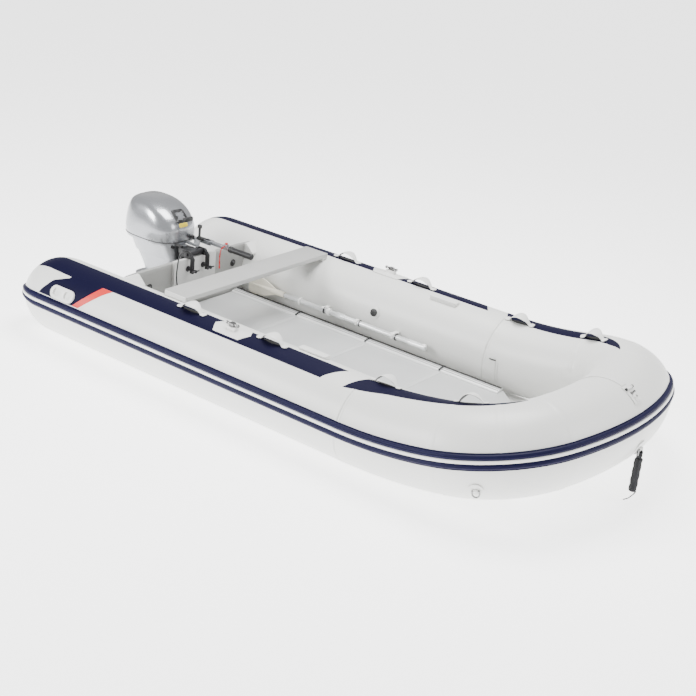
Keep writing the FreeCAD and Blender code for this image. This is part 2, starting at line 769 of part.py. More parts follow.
def grab_handle():
    """One handle at the origin, along X, standing up in +Z from a tube under it."""
    half, width, rise, strap = size.handle_length / 2, size.handle_width, size.handle_rise, 5.0
    foot = 36.0
    edges = [
        Part.LineSegment(Vector(-half, 0, -3), Vector(-half, 0, 5)),
        Part.LineSegment(Vector(-half, 0, 5), Vector(-half + foot, 0, 8)),
        Part.Arc(Vector(-half + foot, 0, 8), Vector(0, 0, rise), Vector(half - foot, 0, 8)),
        Part.LineSegment(Vector(half - foot, 0, 8), Vector(half, 0, 5)),
        Part.LineSegment(Vector(half, 0, 5), Vector(half, 0, -3)),
        Part.LineSegment(Vector(half, 0, -3), Vector(half - foot - 4, 0, -3)),
        Part.LineSegment(Vector(half - foot - 4, 0, -3), Vector(half - foot - 4, 0, 4)),
        Part.Arc(Vector(half - foot - 4, 0, 4), Vector(0, 0, rise - strap), Vector(-half + foot + 4, 0, 4)),
        Part.LineSegment(Vector(-half + foot + 4, 0, 4), Vector(-half + foot + 4, 0, -3)),
        Part.LineSegment(Vector(-half + foot + 4, 0, -3), Vector(-half, 0, -3)),
    ]
    profile = Part.Face(Part.Wire([edge.toShape() for edge in edges]))
    return profile.extrude(Vector(0, width, 0)).translated(Vector(0, -width / 2, 0))


def seated(shape, distance, degrees, lift=0.0):
    """Put a shape on the tube and hollow its foot to the tube's round."""
    moved = on_tube(shape, distance, degrees, lift)
    frame = at_distance(distance)
    radius = size.tube_radius + size.glue_gap + size.patch_thickness + 0.5
    reach = 400.0
    if distance <= size.sheer_start:
        tube = Part.makeCylinder(radius, 2 * reach, frame[0] - frame[1] * reach, frame[1])
        return moved.cut(tube)
    for stretch in (side, sheer, corner, front):
        moved = moved.cut(stretch.sweep(disc(stretch.frame(0), radius)))
    return moved


handles = [seated(grab_handle(), spot, angle, 3.0) for spot, angle in zip(HANDLE_PLACES, HANDLE_ANGLES)]
node("grab_handles", feature("grab_handles", Part.makeCompound(both_sides(handles))))


# ------------------------------------------------------------------ stern carry handles
# Moulded oval plate with a bar across the middle between two finger recesses.
def carry_handle():
    length, width, height = 196.0, 80.0, 15.0
    straight = length - width
    plate = Part.makeBox(straight, width, height + 9, Vector(-straight / 2, -width / 2, -9))
    for end in (-straight / 2, straight / 2):
        plate = plate.fuse(Part.makeCylinder(width / 2, height + 9, Vector(end, 0, -9)))
    plate = plate.removeSplitter()
    rim = [edge for edge in plate.Edges if edge.BoundBox.ZMin > height - 0.01]
    plate = plate.makeFillet(4.0, rim)
    for end in (-1, 1):
        recess = Part.makeBox(54, 46, height, Vector(end * 47 - 27, -23, 3))
        edges = [edge for edge in recess.Edges if edge.BoundBox.ZLength > height - 1]
        plate = plate.cut(recess.makeFillet(14.0, edges))
    return plate


node("carry_handles", feature("carry_handles", Part.makeCompound(both_sides([
    seated(carry_handle(), size.carry_handle_place, size.carry_handle_angle)]))))


# ------------------------------------------------------------------ rowlocks
# A bonded pad carries a socket; the rowlock's spindle turns in it and holds the oar's pin across the top.
SOCKET_HEIGHT, SPINDLE_RADIUS = 24.0, 8.0


def rowlock_base():
    length, width = 264.0, 128.0
    corners = [Vector(x, y, -22) for x, y in (
        (-length / 2, 0), (-length / 2 + 38, -width / 2), (length / 2 - 38, -width / 2), (length / 2, 0),
        (length / 2 - 38, width / 2), (-length / 2 + 38, width / 2))]
    pad = Part.Face(Part.makePolygon(corners + corners[:1])).extrude(Vector(0, 0, 60))
    shell = Part.makeCylinder(size.tube_radius + 5.0, length + 20, Vector(-length / 2 - 10, 0, -size.tube_radius),
                              Vector(1, 0, 0))
    pad = pad.common(shell)
    socket = Part.makeBox(66, 42, SOCKET_HEIGHT, Vector(-33, -21, 0))
    socket = socket.makeFillet(10.0, [edge for edge in socket.Edges if edge.BoundBox.ZLength > 5])
    hole = Part.makeCylinder(SPINDLE_RADIUS + size.running_clearance, 40, Vector(0, 0, 6))
    return pad.fuse(socket).removeSplitter().cut(hole)


def rowlock():
    spindle = Part.makeCylinder(SPINDLE_RADIUS, 30, Vector(0, 0, 6.4))
    head = Part.makeBox(30, 26, 20, Vector(-15, -13, SOCKET_HEIGHT + 0.4))
    pin = Part.makeCylinder(6.0, 84, Vector(-42, 0, SOCKET_HEIGHT + 12), Vector(1, 0, 0))
    knobs = [Part.makeCylinder(9.0, 8, Vector(x, 0, SOCKET_HEIGHT + 12), Vector(1, 0, 0)) for x in (-44, 36)]
    return spindle.multiFuse([head, pin] + knobs).removeSplitter()


node("rowlock_bases", feature("rowlock_bases", Part.makeCompound(both_sides([
    seated(rowlock_base(), size.rowlock_place, size.rowlock_angle)]))))
starboard_rowlock = on_tube(rowlock(), size.rowlock_place, size.rowlock_angle)
node("starboard_rowlock", feature("starboard_rowlock", starboard_rowlock))
node("port_rowlock", feature("port_rowlock", to_port(starboard_rowlock)))


# ------------------------------------------------------------------ inflation valves
# A flanged body bonded through the tube wall, and a twist cap with grip ribs.
def valve_body():
    flange = Part.makeCylinder(size.valve_radius, 4, Vector(0, 0, 0.5))
    neck = Part.makeCylinder(size.valve_radius * 0.72, 7, Vector(0, 0, 4))
    well = Part.makeCylinder(size.valve_radius * 0.45, 20, Vector(0, 0, 2.5))
    return flange.fuse(neck).cut(well)


def valve_cap():
    radius = size.valve_radius * 0.66
    cap = Part.makeCylinder(radius, 7, Vector(0, 0, 11.4))
    cap = cap.fuse(Part.makeCylinder(size.valve_radius * 0.45 - 0.4, 6, Vector(0, 0, 5.6)))
    for number in range(6):
        groove = Part.makeBox(radius, 3.2, 4, Vector(9, -1.6, 15.4))
        groove.rotate(Vector(), Vector(0, 0, 1), 60 * number)
        cap = cap.cut(groove)
    return cap.removeSplitter()


VALVE_LIFT = 1.0
node("valve_bodies", feature("valve_bodies", Part.makeCompound(both_sides([
    seated(valve_body(), size.valve_place, size.valve_angle, VALVE_LIFT)]))))
starboard_cap = on_tube(valve_cap(), size.valve_place, size.valve_angle, VALVE_LIFT)
node("starboard_valve_cap", feature("starboard_valve_cap", starboard_cap))
node("port_valve_cap", feature("port_valve_cap", to_port(starboard_cap)))


# ------------------------------------------------------------------ oars
# Aluminium shaft with a joint collar, two stowage collars and a grip, and a moulded blade, stowed in clips.
oar_end = "oar_start + oar_length"
shaft_body = revolved("oar_shaft", [
    ("0", "0"), ("0", "oar_radius"), ("440", "oar_radius"), ("440", "oar_radius + 4"), ("505", "oar_radius + 4"),
    ("505", "oar_radius"), ("oar_length - blade_length - 130", "oar_radius"),
    ("oar_length - blade_length - 130", "oar_radius + 3"), ("oar_length - blade_length - 4", "oar_radius + 2"),
    ("oar_length - blade_length", "oar_radius - 3"), ("oar_length - blade_length", "0"),
], ("oar_start + blade_length", "-oar_inset", "oar_height"))
starboard_shaft = node("starboard_oar_shaft", shaft_body)
node("port_oar_shaft", mirrored("port_oar_shaft", shaft_body))


def oar_blade():
    """A dished blade with a socket for the shaft, built along -X from the shaft's end."""
    length, width, radius = size.blade_length, size.blade_width, size.oar_radius
    half = width / 2
    points = [
        Vector(-70, 0, radius + 2), Vector(-170, 0, half * 0.82), Vector(-260, 0, half), Vector(-length + 14, 0, half - 6),
        Vector(-length, 0, half - 24), Vector(-length, 0, -half + 24), Vector(-length + 14, 0, -half + 6),
        Vector(-260, 0, -half), Vector(-170, 0, -half * 0.82), Vector(-70, 0, -radius - 2),
    ]
    sheet_face = Part.Face(Part.makePolygon(points + points[:1]))
    blade = sheet_face.extrude(Vector(0, 6, 0)).translated(Vector(0, -3, 0))
    spine = Part.makeCone(radius + 4, 5, 250, Vector(-60, 0, 0), Vector(-1, 0, 0))
    neck = Part.makeCylinder(radius + 4, 60.4, Vector(-60, 0, 0), Vector(1, 0, 0))
    neck = neck.cut(Part.makeCylinder(radius + 0.3, 61, Vector(-0.0, 0, 0), Vector(1, 0, 0)))
    return blade.multiFuse([spine, neck]).removeSplitter()


blade_shape = oar_blade().translated(Vector(size.oar_start + size.blade_length - 0.6, -size.oar_inset, size.oar_height))
node("starboard_oar_blade", feature("starboard_oar_blade", blade_shape))
node("port_oar_blade", feature("port_oar_blade", to_port(blade_shape)))


def oar_clip(place_x):
    """A rubber C clip on the tube's inner side, open inboard."""
    centre = Vector(place_x, -size.oar_inset, size.oar_height)
    outer = size.oar_radius + 7
    tube_edge = -size.tube_spacing_half + size.tube_radius
    block = Part.makeCylinder(outer, 30, centre - Vector(15, 0, 0), Vector(1, 0, 0))
    block = block.fuse(Part.makeBox(30, abs(tube_edge - centre.y) + 24, 2 * outer * 0.8,
                                    Vector(place_x - 15, tube_edge - 24, centre.z - outer * 0.8)))
    block = block.cut(Part.makeCylinder(size.oar_radius + 0.8, 40, centre - Vector(20, 0, 0), Vector(1, 0, 0)))
    mouth = size.oar_radius + 0.8
    block = block.cut(Part.makeBox(40, 60, 2 * mouth, Vector(place_x - 20, centre.y, centre.z - mouth)))
    tube = Part.makeCylinder(size.tube_radius + size.glue_gap, 300,
                             Vector(place_x - 150, -size.tube_spacing_half, size.tube_radius), Vector(1, 0, 0))
    return block.cut(tube)


CLIP_PLACES = (760.0, 1310.0)
node("oar_clips", feature("oar_clips", Part.makeCompound(both_sides([oar_clip(x) for x in CLIP_PLACES]))))


# ------------------------------------------------------------------ bow fittings
# Lifting strap over the bow tube to a cleat, towing ring under the bow and a ring low on each shoulder.
def bow_across(first, last, low, high, half_width):
    """A band round the bow tube's section on the centre plane."""
    frame = front.frame(1)
    frame = (frame[0] - frame[1] * half_width, frame[1], frame[2], frame[3])
    return sector(frame, low, high, first, last).extrude(frame[1] * (2 * half_width))


surface = size.tube_radius + size.glue_gap
node("bow_strap", feature("bow_strap", bow_across(58, 118, surface + 0.4, surface + 3.2, 22.0)))


def bow_cleat():
    plate = bow_across(30, 57, surface + 0.4, surface + 5.4, 38.0)
    frame = front.frame(1)
    post_spot = polar(frame, surface + 5.2, 38)
    outward = (post_spot - frame[0]).normalize()
    eye = Part.makeCylinder(22, 12, post_spot - outward * 2, outward)
    eye = eye.cut(Part.makeCylinder(9, 40, post_spot - outward * 1, outward))
    bar_spot = polar(frame, surface + 10.4, 51)
    bar = Part.makeCylinder(6, 66, bar_spot - frame[1] * 33, frame[1])
    return plate.multiFuse([eye, bar]).removeSplitter()


node("bow_fitting", feature("bow_fitting", bow_cleat()))

RING_WIRE = 4.0
RING_DROP = 0.65
RINGS = {
    "tow": (front.frame(1), -31.0, 30.0),
    "bow": (corner.frame(0.31), -30.0, 24.0),
}


def ring_mount(key):
    """A round bonded patch with a webbing lug that holds the ring's straight bar."""
    frame, degrees, width = RINGS[key]
    spot = polar(frame, surface + 3.4, degrees)
    outward = (spot - frame[0]).normalize()
    patch = Part.makeCylinder(width + 14, 12, spot - outward * 10, outward)
    lug = Part.makeCylinder(RING_WIRE + 3.4, width, spot + outward * 9 - frame[1] * (width / 2), frame[1])
    bore = Part.makeCylinder(RING_WIRE + 0.25, width * 2, spot + outward * 9 - frame[1] * width, frame[1])
    mount = patch.fuse(lug).removeSplitter().cut(bore)
    for stretch in (sheer, corner, front):
        tube = stretch.sweep(disc(stretch.frame(0), surface + 0.3))
        mount = mount.cut(tube).cut(to_port(tube))
    return mount


def hanging_ring(key):
    """A D ring, its bar in the lug, hanging straight down."""
    frame, degrees, width = RINGS[key]
    spot = polar(frame, surface + 3.4, degrees)
    outward = (spot - frame[0]).normalize()
    centre = spot + outward * 9
    level = frame[1]
    down = Vector(0, 0, -1)
    down = (down - level * down.dot(level)).normalize()
    half, drop = width / 2 + 6, width * RING_DROP
    bar = Part.makeCylinder(RING_WIRE, 2 * half, centre - level * half, level)
    legs = [Part.makeCylinder(RING_WIRE, drop, centre + level * (side_ * half), down) for side_ in (-1, 1)]
    bend = Part.makeTorus(half, RING_WIRE, centre + down * drop, down.cross(level))
    keep = Part.makeBox(200, 200, 100, Vector(-100, -100, 0))
    turn = Rotation(Vector(0, 0, 1), down)
    keep.Placement = Placement(centre + down * drop, turn)
    balls = [Part.makeSphere(RING_WIRE + 0.3, centre + level * (side_ * half)) for side_ in (-1, 1)]
    return bar.multiFuse(legs + balls + [bend.common(keep)]).removeSplitter()


mounts = [ring_mount("tow")] + both_sides([ring_mount("bow")])
node("ring_patches", feature("ring_patches", Part.makeCompound(mounts)))
node("tow_ring", feature("tow_ring", hanging_ring("tow")))
starboard_ring = hanging_ring("bow")
node("starboard_bow_ring", feature("starboard_bow_ring", starboard_ring))
node("port_bow_ring", feature("port_bow_ring", to_port(starboard_ring)))


# ------------------------------------------------------------------ painter
# Thin line stowed as a hank that hangs from the towing ring, its end trailing below.
tow_frame, tow_degrees, tow_width = RINGS["tow"]
tow_spot = polar(tow_frame, surface + 12.4, tow_degrees)
hank_top = Vector(tow_spot.x, 0, tow_spot.z - tow_width * (RING_DROP + 0.5) - 6 - RING_WIRE - 0.3)
HANK_RADIUS, HANK_LENGTH = 22.0, 212.0
hank = Part.makeCone(HANK_RADIUS * 0.8, HANK_RADIUS, HANK_LENGTH, hank_top, Vector(0, 0, -1))
node("painter_hank", feature("painter_hank", hank))

TAIL_DIAMETER = 6.0
TAIL_ROUTE = [
    Vector(hank_top.x, 0, hank_top.z - HANK_LENGTH),
    Vector(hank_top.x - 1, 0, hank_top.z - HANK_LENGTH - 22),
    Vector(hank_top.x - 14, -6, hank_top.z - HANK_LENGTH - 40),
    Vector(hank_top.x - 36, -10, hank_top.z - HANK_LENGTH - 52),
]


def cord(route, diameter, name):
    """A round tube along straight runs joined by tangent arcs as large as the runs allow."""
    edges, length, last = [], 0.0, route[0]
    for before, here, after in zip(route, route[1:], route[2:]):
        come, leave = (here - before), (after - here)
        turn = come.getAngle(leave)
        cut_back = 0.45 * min(come.Length, leave.Length)
        radius = cut_back / math.tan(turn / 2)
        first = here - come.normalize() * cut_back
        second = here + leave.normalize() * cut_back
        towards = ((first + second) * 0.5 - here).normalize()
        middle = here + towards * (radius / math.cos(turn / 2) - radius)
        edges += [Part.LineSegment(last, first).toShape(), Part.Arc(first, middle, second).toShape()]
        length += (first - last).Length + radius * turn
        last = second
        print(f"{name}: bend radius {radius:.1f} mm at a turn of {math.degrees(turn):.0f} degrees")
    edges.append(Part.LineSegment(last, route[-1]).toShape())
    length += (route[-1] - last).Length
    start = (route[1] - route[0]).normalize()
    section = Part.Wire(Part.Circle(route[0], start, diameter / 2).toShape())
    tube = Part.Wire(edges).makePipeShell([section], True, True)
    wanted = math.pi * diameter * diameter / 4 * length
    print(f"{name}: length {length:.1f} mm, volume {tube.Volume:.0f} against {wanted:.0f}")
    return tube


node("painter_tail", feature("painter_tail", cord(TAIL_ROUTE, TAIL_DIAMETER, "painter_tail")))


# ------------------------------------------------------------------ outboard: clamp bracket
# Two hooked plates over the transom, joined by the tilt pin, each with a T-handled clamp screw.
PLATE_OUTLINE = [
    ("-transom_thickness - 21", "300"), ("-transom_thickness - 4", "300"), ("-transom_thickness - 4", "pad_top + 1"),
    ("pad_thickness + 24", "pad_top + 1"), ("pad_thickness + 24", "clamp_screw_height - 22"),
    ("pad_thickness + 50", "clamp_screw_height - 22"), ("pad_thickness + 50", "pad_top + 8"),
    ("pad_thickness + 16", "tilt_z + 20"), ("-transom_thickness - 2", "tilt_z + 20"),
    ("-transom_thickness - 21", "tilt_z + 4"),
]
plates = []
for index, sign in enumerate(("-", "")):
    plate = padded(f"bracket_plate_{index}", "XZ_Plane", PLATE_OUTLINE, "bracket_plate",
                   ("0", f"{sign}(bracket_inside + bracket_plate / 2)", "0"))
    holes = [
        cylinder(f"pin_hole_{index}", "tilt_pin_radius + running_clearance", "400", ("tilt_x", "-200", "tilt_z"), "y"),
        cylinder(f"screw_hole_{index}", "clamp_screw_radius + running_clearance", "200",
                 ("0", f"{sign}clamp_screw_offset", "clamp_screw_height"), "x"),
    ]
    plates.append(cut(f"bracket_side_{index}", plate, holes))
tilt_pin = revolved("tilt_pin", [
    ("-bracket_inside - bracket_plate - 9", "0"), ("-bracket_inside - bracket_plate - 9", "13"),
    ("-bracket_inside - bracket_plate - 0.4", "13"), ("-bracket_inside - bracket_plate - 0.4", "tilt_pin_radius"),
    ("bracket_inside + bracket_plate + 0.4", "tilt_pin_radius"), ("bracket_inside + bracket_plate + 0.4", "13"),
    ("bracket_inside + bracket_plate + 9", "13"), ("bracket_inside + bracket_plate + 9", "0"),
], ("tilt_x", "0", "tilt_z"), Rotation(Vector(0, 0, 1), 90))
node("clamp_bracket", group("clamp_bracket", plates + [tilt_pin]))

for side_name, sign in (("starboard", "-"), ("port", "")):
    stem = revolved(f"{side_name}_screw_stem", [
        ("pad_thickness + 1", "0"), ("pad_thickness + 1", "19"), ("pad_thickness + 5", "19"),
        ("pad_thickness + 9", "clamp_screw_radius"), ("pad_thickness + 62", "clamp_screw_radius"),
        ("pad_thickness + 62", "11"), ("pad_thickness + 74", "11"), ("pad_thickness + 74", "0"),
    ], ("0", f"{sign}clamp_screw_offset", "clamp_screw_height"))
    bar = cylinder(f"{side_name}_screw_bar", "4.5", "66",
                   ("pad_thickness + 68", f"{sign}clamp_screw_offset - 33", "clamp_screw_height"), "y")
    node(f"{side_name}_clamp_screw", fuse(f"{side_name}_clamp_screw", [stem, bar]))


# ------------------------------------------------------------------ outboard: swivel bracket
swivel_solid = fuse("swivel_solid", [
    cylinder("tilt_hub", "20", "2 * bracket_inside - 2", ("tilt_x", "-bracket_inside + 1", "tilt_z"), "y"),
    box("swivel_arm", ("tilt_x - steer_x", "84", "32"), ("steer_x", "-42", "tilt_z - 16")),
    cylinder("steer_tube", "swivel_radius", "tilt_z + 17 - swivel_bottom", ("steer_x", "0", "swivel_bottom")),
])
node("swivel_bracket", cut("swivel_bracket", swivel_solid, [
    cylinder("tilt_bore", "tilt_pin_radius + running_clearance", "400", ("tilt_x", "-200", "tilt_z"), "y"),
    cylinder("steer_bore", "steer_radius + running_clearance", "400", ("steer_x", "0", "swivel_bottom - 100")),
]))



# ------------------------------------------------------------------ outboard: casings
def plan_loop(middle, length, width, level, bluntness=3.0):
    """A smooth closed loop like a rounded oblong, seen from above."""
    points = []
    for number in range(20):
        angle = 2 * math.pi * number / 20
        across, along = math.sin(angle), math.cos(angle)
        points.append(Vector(
            middle + length / 2 * math.copysign(abs(along) ** (2 / bluntness), along),
            width / 2 * math.copysign(abs(across) ** (2 / bluntness), across), level))
    curve = Part.BSplineCurve()
    curve.interpolate(points, PeriodicFlag=True)
    return Part.Wire(curve.toShape())


def casing(stations, inset=0.0, floor_lift=0.0, roof_drop=0.0):
    """A solid through plan loops; the inset version is the space inside it."""
    loops = []
    for number, (middle, length, width, level) in enumerate(stations):
        if number == 0:
            level += floor_lift
        if number == len(stations) - 1:
            level -= roof_drop
        loops.append(plan_loop(middle, length - 2 * inset, width - 2 * inset, level))
    return Part.makeLoft(loops, True)


x, length, width, seam, height = size.cowl_x, size.cowl_length, size.cowl_width, size.cowl_seam, size.cowl_height
COWL = [
    (x, length, width, seam), (x - 3, length + 4, width + 4, seam + height * 0.25),
    (x - 8, length - 16, width - 12, seam + height * 0.5), (x - 27, length - 75, width - 44, seam + height * 0.75),
    (x - 53, length - 164, width - 90, seam + height * 0.92), (x - 70, length - 250, width - 150, seam + height),
]
upper_cowl = casing(COWL).cut(casing(COWL, size.cowl_wall, -1.0, size.cowl_wall))
node("upper_cowl", feature("upper_cowl", upper_cowl))

seal = casing([(x, length - 4, width - 4, seam - 3.6), (x, length - 4, width - 4, seam - 0.4)])
seal = seal.cut(casing([(x, length - 24, width - 24, seam - 4), (x, length - 24, width - 24, seam)]))
node("cowl_seal", feature("cowl_seal", seal))

tray_floor = size.tilt_z + 28
front_limit = size.steer_x - size.swivel_radius - 4
rim = seam - 4.2
TRAY = [(x, length - 10, width - 10, tray_floor), (x, length, width, rim)]
LEG_TOP = 400.0


def funnel_station(aft, width_here, level):
    return ((aft + front_limit) / 2, front_limit - aft, width_here, level)


FUNNEL = [
    funnel_station(-486, 168, LEG_TOP), funnel_station(-500, 218, 460), funnel_station(-510, 266, tray_floor + 2),
]
FUNNEL_WALL = 4.0


def lower_cowl():
    """Tray under the engine narrowing to the leg, with the tiller and shift-lever mounts on its front."""
    solid = casing(TRAY).fuse(casing(FUNNEL))
    wall = FUNNEL_WALL
    inside = casing([(x, length - 20, width - 20, tray_floor + wall), (x, length - 8, width - 8, rim + 2)])
    throat = casing([(m, l - 2 * wall, w - 2 * wall, z) for m, l, w, z in FUNNEL], 0, wall, -wall)
    solid = solid.cut(inside.fuse(throat))
    y, z, pivot = size.tiller_y, size.tiller_z, size.tiller_pivot_x
    mounts = [
        Part.makeBox(pivot - 15 + 175, 32, 16, Vector(-175, y - 16, tray_floor + 2)),
        Part.makeBox(60, 5, 28, Vector(pivot - 46, y - 19, z - 16)),
        Part.makeBox(60, 5, 28, Vector(pivot - 46, y + 14, z - 16)),
        Part.makeCylinder(5, 44, Vector(pivot, y - 22, z), Vector(0, 1, 0)),
        Part.makeBox(112, 12, 16, Vector(-100, 20, tray_floor + 2)),
        Part.makeBox(42, 12, 32, Vector(-20, 20, seam - 6)),
        Part.makeCylinder(4, 20, Vector(8, 28, 552), Vector(0, 1, 0)),
    ]
    keep_out = casing([(x, length - 30, width - 30, tray_floor + wall), (x, length - 30, width - 30, rim + 60)])
    return solid.multiFuse([mount.cut(keep_out) for mount in mounts]).removeSplitter()


node("lower_cowl", feature("lower_cowl", lower_cowl()))

engine_x = size.cowl_x
foot_level = LEG_TOP + FUNNEL_WALL + 0.3
engine_foot = casing([(engine_x, 330, 148, foot_level), (engine_x, 330, 148, foot_level + 6)])
engine = fuse("engine_block", [
    feature("engine_foot", engine_foot),
    box("engine_column", ("150", "100", "118"), ("cowl_x - 75", "-50", str(foot_level + 4))),
    box("cylinder_block", ("230", "150", "150"), ("cowl_x - 120", "-75", "tilt_z + 32.4")),
    cylinder("flywheel", "98", "22", ("cowl_x - 5", "0", "tilt_z + 196")),
    cylinder("crankcase", "60", "40", ("cowl_x - 5", "0", "tilt_z + 166")),
])
node("engine_block", engine)

LEG = [(size.leg_x, size.leg_length - 10, size.leg_width * 0.9, size.plate_level + 1),
       (size.leg_x - 1, size.leg_length + 14, size.leg_width, 284), (size.leg_x - 7, size.leg_length + 56, 130, 342),
       (size.leg_x - 17, size.leg_length + 98, 162, LEG_TOP - 1)]
leg_solid = casing(LEG)
leg_space = casing([(m, l - 14, w - 14, z) for m, l, w, z in LEG], 0, 8, -1)
node("drive_leg", feature("drive_leg", leg_solid.cut(leg_space)))


def steering_shaft():
    """The shaft in the swivel tube, with a yoke above and below that grips the leg."""
    top = size.tilt_z + 18
    axis = Vector(size.steer_x, 0, size.yoke_bottom)
    shaft = Part.makeCylinder(size.steer_radius, top + 8 - size.yoke_bottom, axis)
    lower = Part.makeCylinder(26, size.swivel_bottom - 1 - size.yoke_bottom, axis)
    reach = Part.makeBox(100, 44, size.swivel_bottom - 1 - size.yoke_bottom,
                         Vector(size.steer_x - 100, -22, size.yoke_bottom)).cut(leg_solid)
    upper = Part.makeCylinder(26, 8, Vector(size.steer_x, 0, top))
    back = Part.makeBox(110, 52, 8, Vector(size.steer_x - 110, -26, top))
    pieces = [lower, max(reach.Solids, key=lambda solid: solid.CenterOfMass.x), upper]
    return shaft.multiFuse(pieces + [back.cut(casing(FUNNEL))]).removeSplitter()


node("steering_shaft", feature("steering_shaft", max(steering_shaft().Solids, key=lambda solid: solid.Volume)))


# ------------------------------------------------------------------ outboard: gear case and propeller
GEAR_AFT, GEAR_FORE = -436.0, -170.0


def gearcase():
    """Anti-ventilation plate, strut, torpedo and skeg in one casting, bored for the propeller shaft."""
    level, plate = size.shaft_level, size.plate_level
    flat = casing([(-322, 300, 176, plate - 5), (-322, 300, 176, plate)])
    strut = casing([(-290, 232, 34, level), (-290, 210, 50, plate - 4.9)])
    profile = [
        Vector(GEAR_FORE, 0, 0), Vector(GEAR_FORE - 8, 14, 0), Vector(GEAR_FORE - 45, 30, 0), Vector(GEAR_FORE - 90, 34, 0),
        Vector(GEAR_AFT + 60, 34, 0), Vector(GEAR_AFT, 27, 0), Vector(GEAR_AFT, 0, 0),
    ]
    torpedo = Part.Face(Part.makePolygon(profile + profile[:1])).revolve(Vector(), Vector(1, 0, 0), 360)
    torpedo.translate(Vector(0, 0, level))
    fin = [Vector(-250, -4, level - 20), Vector(-300, -4, size.skeg_bottom + 22), Vector(-342, -4, size.skeg_bottom),
           Vector(-392, -4, size.skeg_bottom), Vector(-404, -4, level - 20)]
    skeg = Part.Face(Part.makePolygon(fin + fin[:1])).extrude(Vector(0, 8, 0))
    bore = Part.makeCylinder(8 + size.running_clearance, 62, Vector(GEAR_AFT - 1, 0, level), Vector(1, 0, 0))
    return flat.multiFuse([strut, torpedo, skeg]).removeSplitter().cut(bore)


node("gearcase", feature("gearcase", gearcase()))


def propeller():
    """Hub with its shaft, nut and three pitched blades."""
    level = size.shaft_level
    aft = GEAR_AFT - 0.5
    hub = Part.makeCone(26, 21, 64, Vector(aft, 0, level), Vector(-1, 0, 0))
    shaft = Part.makeCylinder(8, 92, Vector(aft - 40, 0, level), Vector(1, 0, 0))
    nut = Part.makeCylinder(13, 14, Vector(aft - 60, 0, level), Vector(-1, 0, 0))
    blades = []
    for number in range(3):
        ellipse = Part.Ellipse(Vector(), (size.propeller_radius - 18) / 2, 28)
        blade = Part.Face(Part.Wire(ellipse.toShape())).extrude(Vector(0, 0, 4)).translated(Vector(0, 0, -2))
        blade.rotate(Vector(), Vector(0, 1, 0), -90)
        blade.rotate(Vector(), Vector(0, 0, 1), 28)
        blade.translate(Vector(aft - 32, 0, level + 18 + (size.propeller_radius - 18) / 2))
        blade.rotate(Vector(aft, 0, level), Vector(1, 0, 0), 120 * number)
        blades.append(blade)
    return hub.multiFuse([shaft, nut] + blades).removeSplitter()


node("propeller", feature("propeller", propeller()))


# ------------------------------------------------------------------ outboard: controls
def tiller_arm():
    """Forked arm that folds up about its pivot, carrying the stop switch and the grip's core."""
    y, z, pivot = size.tiller_y, size.tiller_z, size.tiller_pivot_x
    end = pivot + size.tiller_arm_length
    hub = Part.makeCylinder(12, 26, Vector(pivot, y - 13, z), Vector(0, 1, 0))
    beam = Part.makeBox(size.tiller_arm_length, 24, 20, Vector(pivot, y - 12, z - 10))
    core = Part.makeCylinder(9, size.grip_length - 14, Vector(end - 1, y, z), Vector(1, 0, 0))
    switch = Part.makeBox(28, 22, 15, Vector(end - 45, y - 11, z + 9))
    arm = hub.multiFuse([beam, core, switch]).removeSplitter()
    pin = Part.makeCylinder(5 + size.running_clearance, 60, Vector(pivot, y - 30, z), Vector(0, 1, 0))
    well = Part.makeCylinder(8 + size.running_clearance, 30, Vector(end - 31, y, z + 11))
    return arm.cut(pin).cut(well)


node("tiller_arm", feature("tiller_arm", tiller_arm()))
grip = revolved("throttle_grip", [
    ("0", "9 + running_clearance"), ("0", "grip_radius"), ("18", "grip_radius"), ("22", "grip_radius - 2"),
    ("60", "grip_radius - 2.5"), ("150", "grip_radius - 1.5"), ("grip_length - 6", "grip_radius - 1"),
    ("grip_length", "grip_radius - 6"), ("grip_length", "0"), ("grip_length - 8", "0"),
    ("grip_length - 8", "9 + running_clearance"),
], ("tiller_pivot_x + tiller_arm_length + 2", "tiller_y", "tiller_z"))
node("throttle_grip", grip)

button_x = size.tiller_pivot_x + size.tiller_arm_length - 31
button = Part.makeCylinder(8, 15, Vector(button_x, size.tiller_y, size.tiller_z + 16))
button = button.fuse(Part.makeCylinder(10, 4, Vector(button_x, size.tiller_y, size.tiller_z + 29.5)))
node("stop_button", feature("stop_button", button.removeSplitter()))

LANYARD_DIAMETER = 9.0
lanyard_top = Vector(button_x, size.tiller_y - 11.4, size.tiller_z + 14)
LANYARD_ROUTE = [
    lanyard_top, lanyard_top + Vector(0, -26, -2), lanyard_top + Vector(1, -44, -22), lanyard_top + Vector(0, -46, -54),
    lanyard_top + Vector(-3, -44, -88), lanyard_top + Vector(0, -43, -122),
]
node("stop_lanyard", feature("stop_lanyard", cord(LANYARD_ROUTE, LANYARD_DIAMETER, "stop_lanyard")))

lever = Part.makeBox(15, 8, 92, Vector(0.5, 33, 552)).fuse(Part.makeCylinder(10, 8, Vector(8, 33, 552), Vector(0, 1, 0)))
lever = lever.fuse(Part.makeBox(26, 16, 22, Vector(-5, 29, 640))).removeSplitter()
lever = lever.cut(Part.makeCylinder(4 + size.running_clearance, 30, Vector(8, 20, 552), Vector(0, 1, 0)))
node("shift_lever", feature("shift_lever", lever))

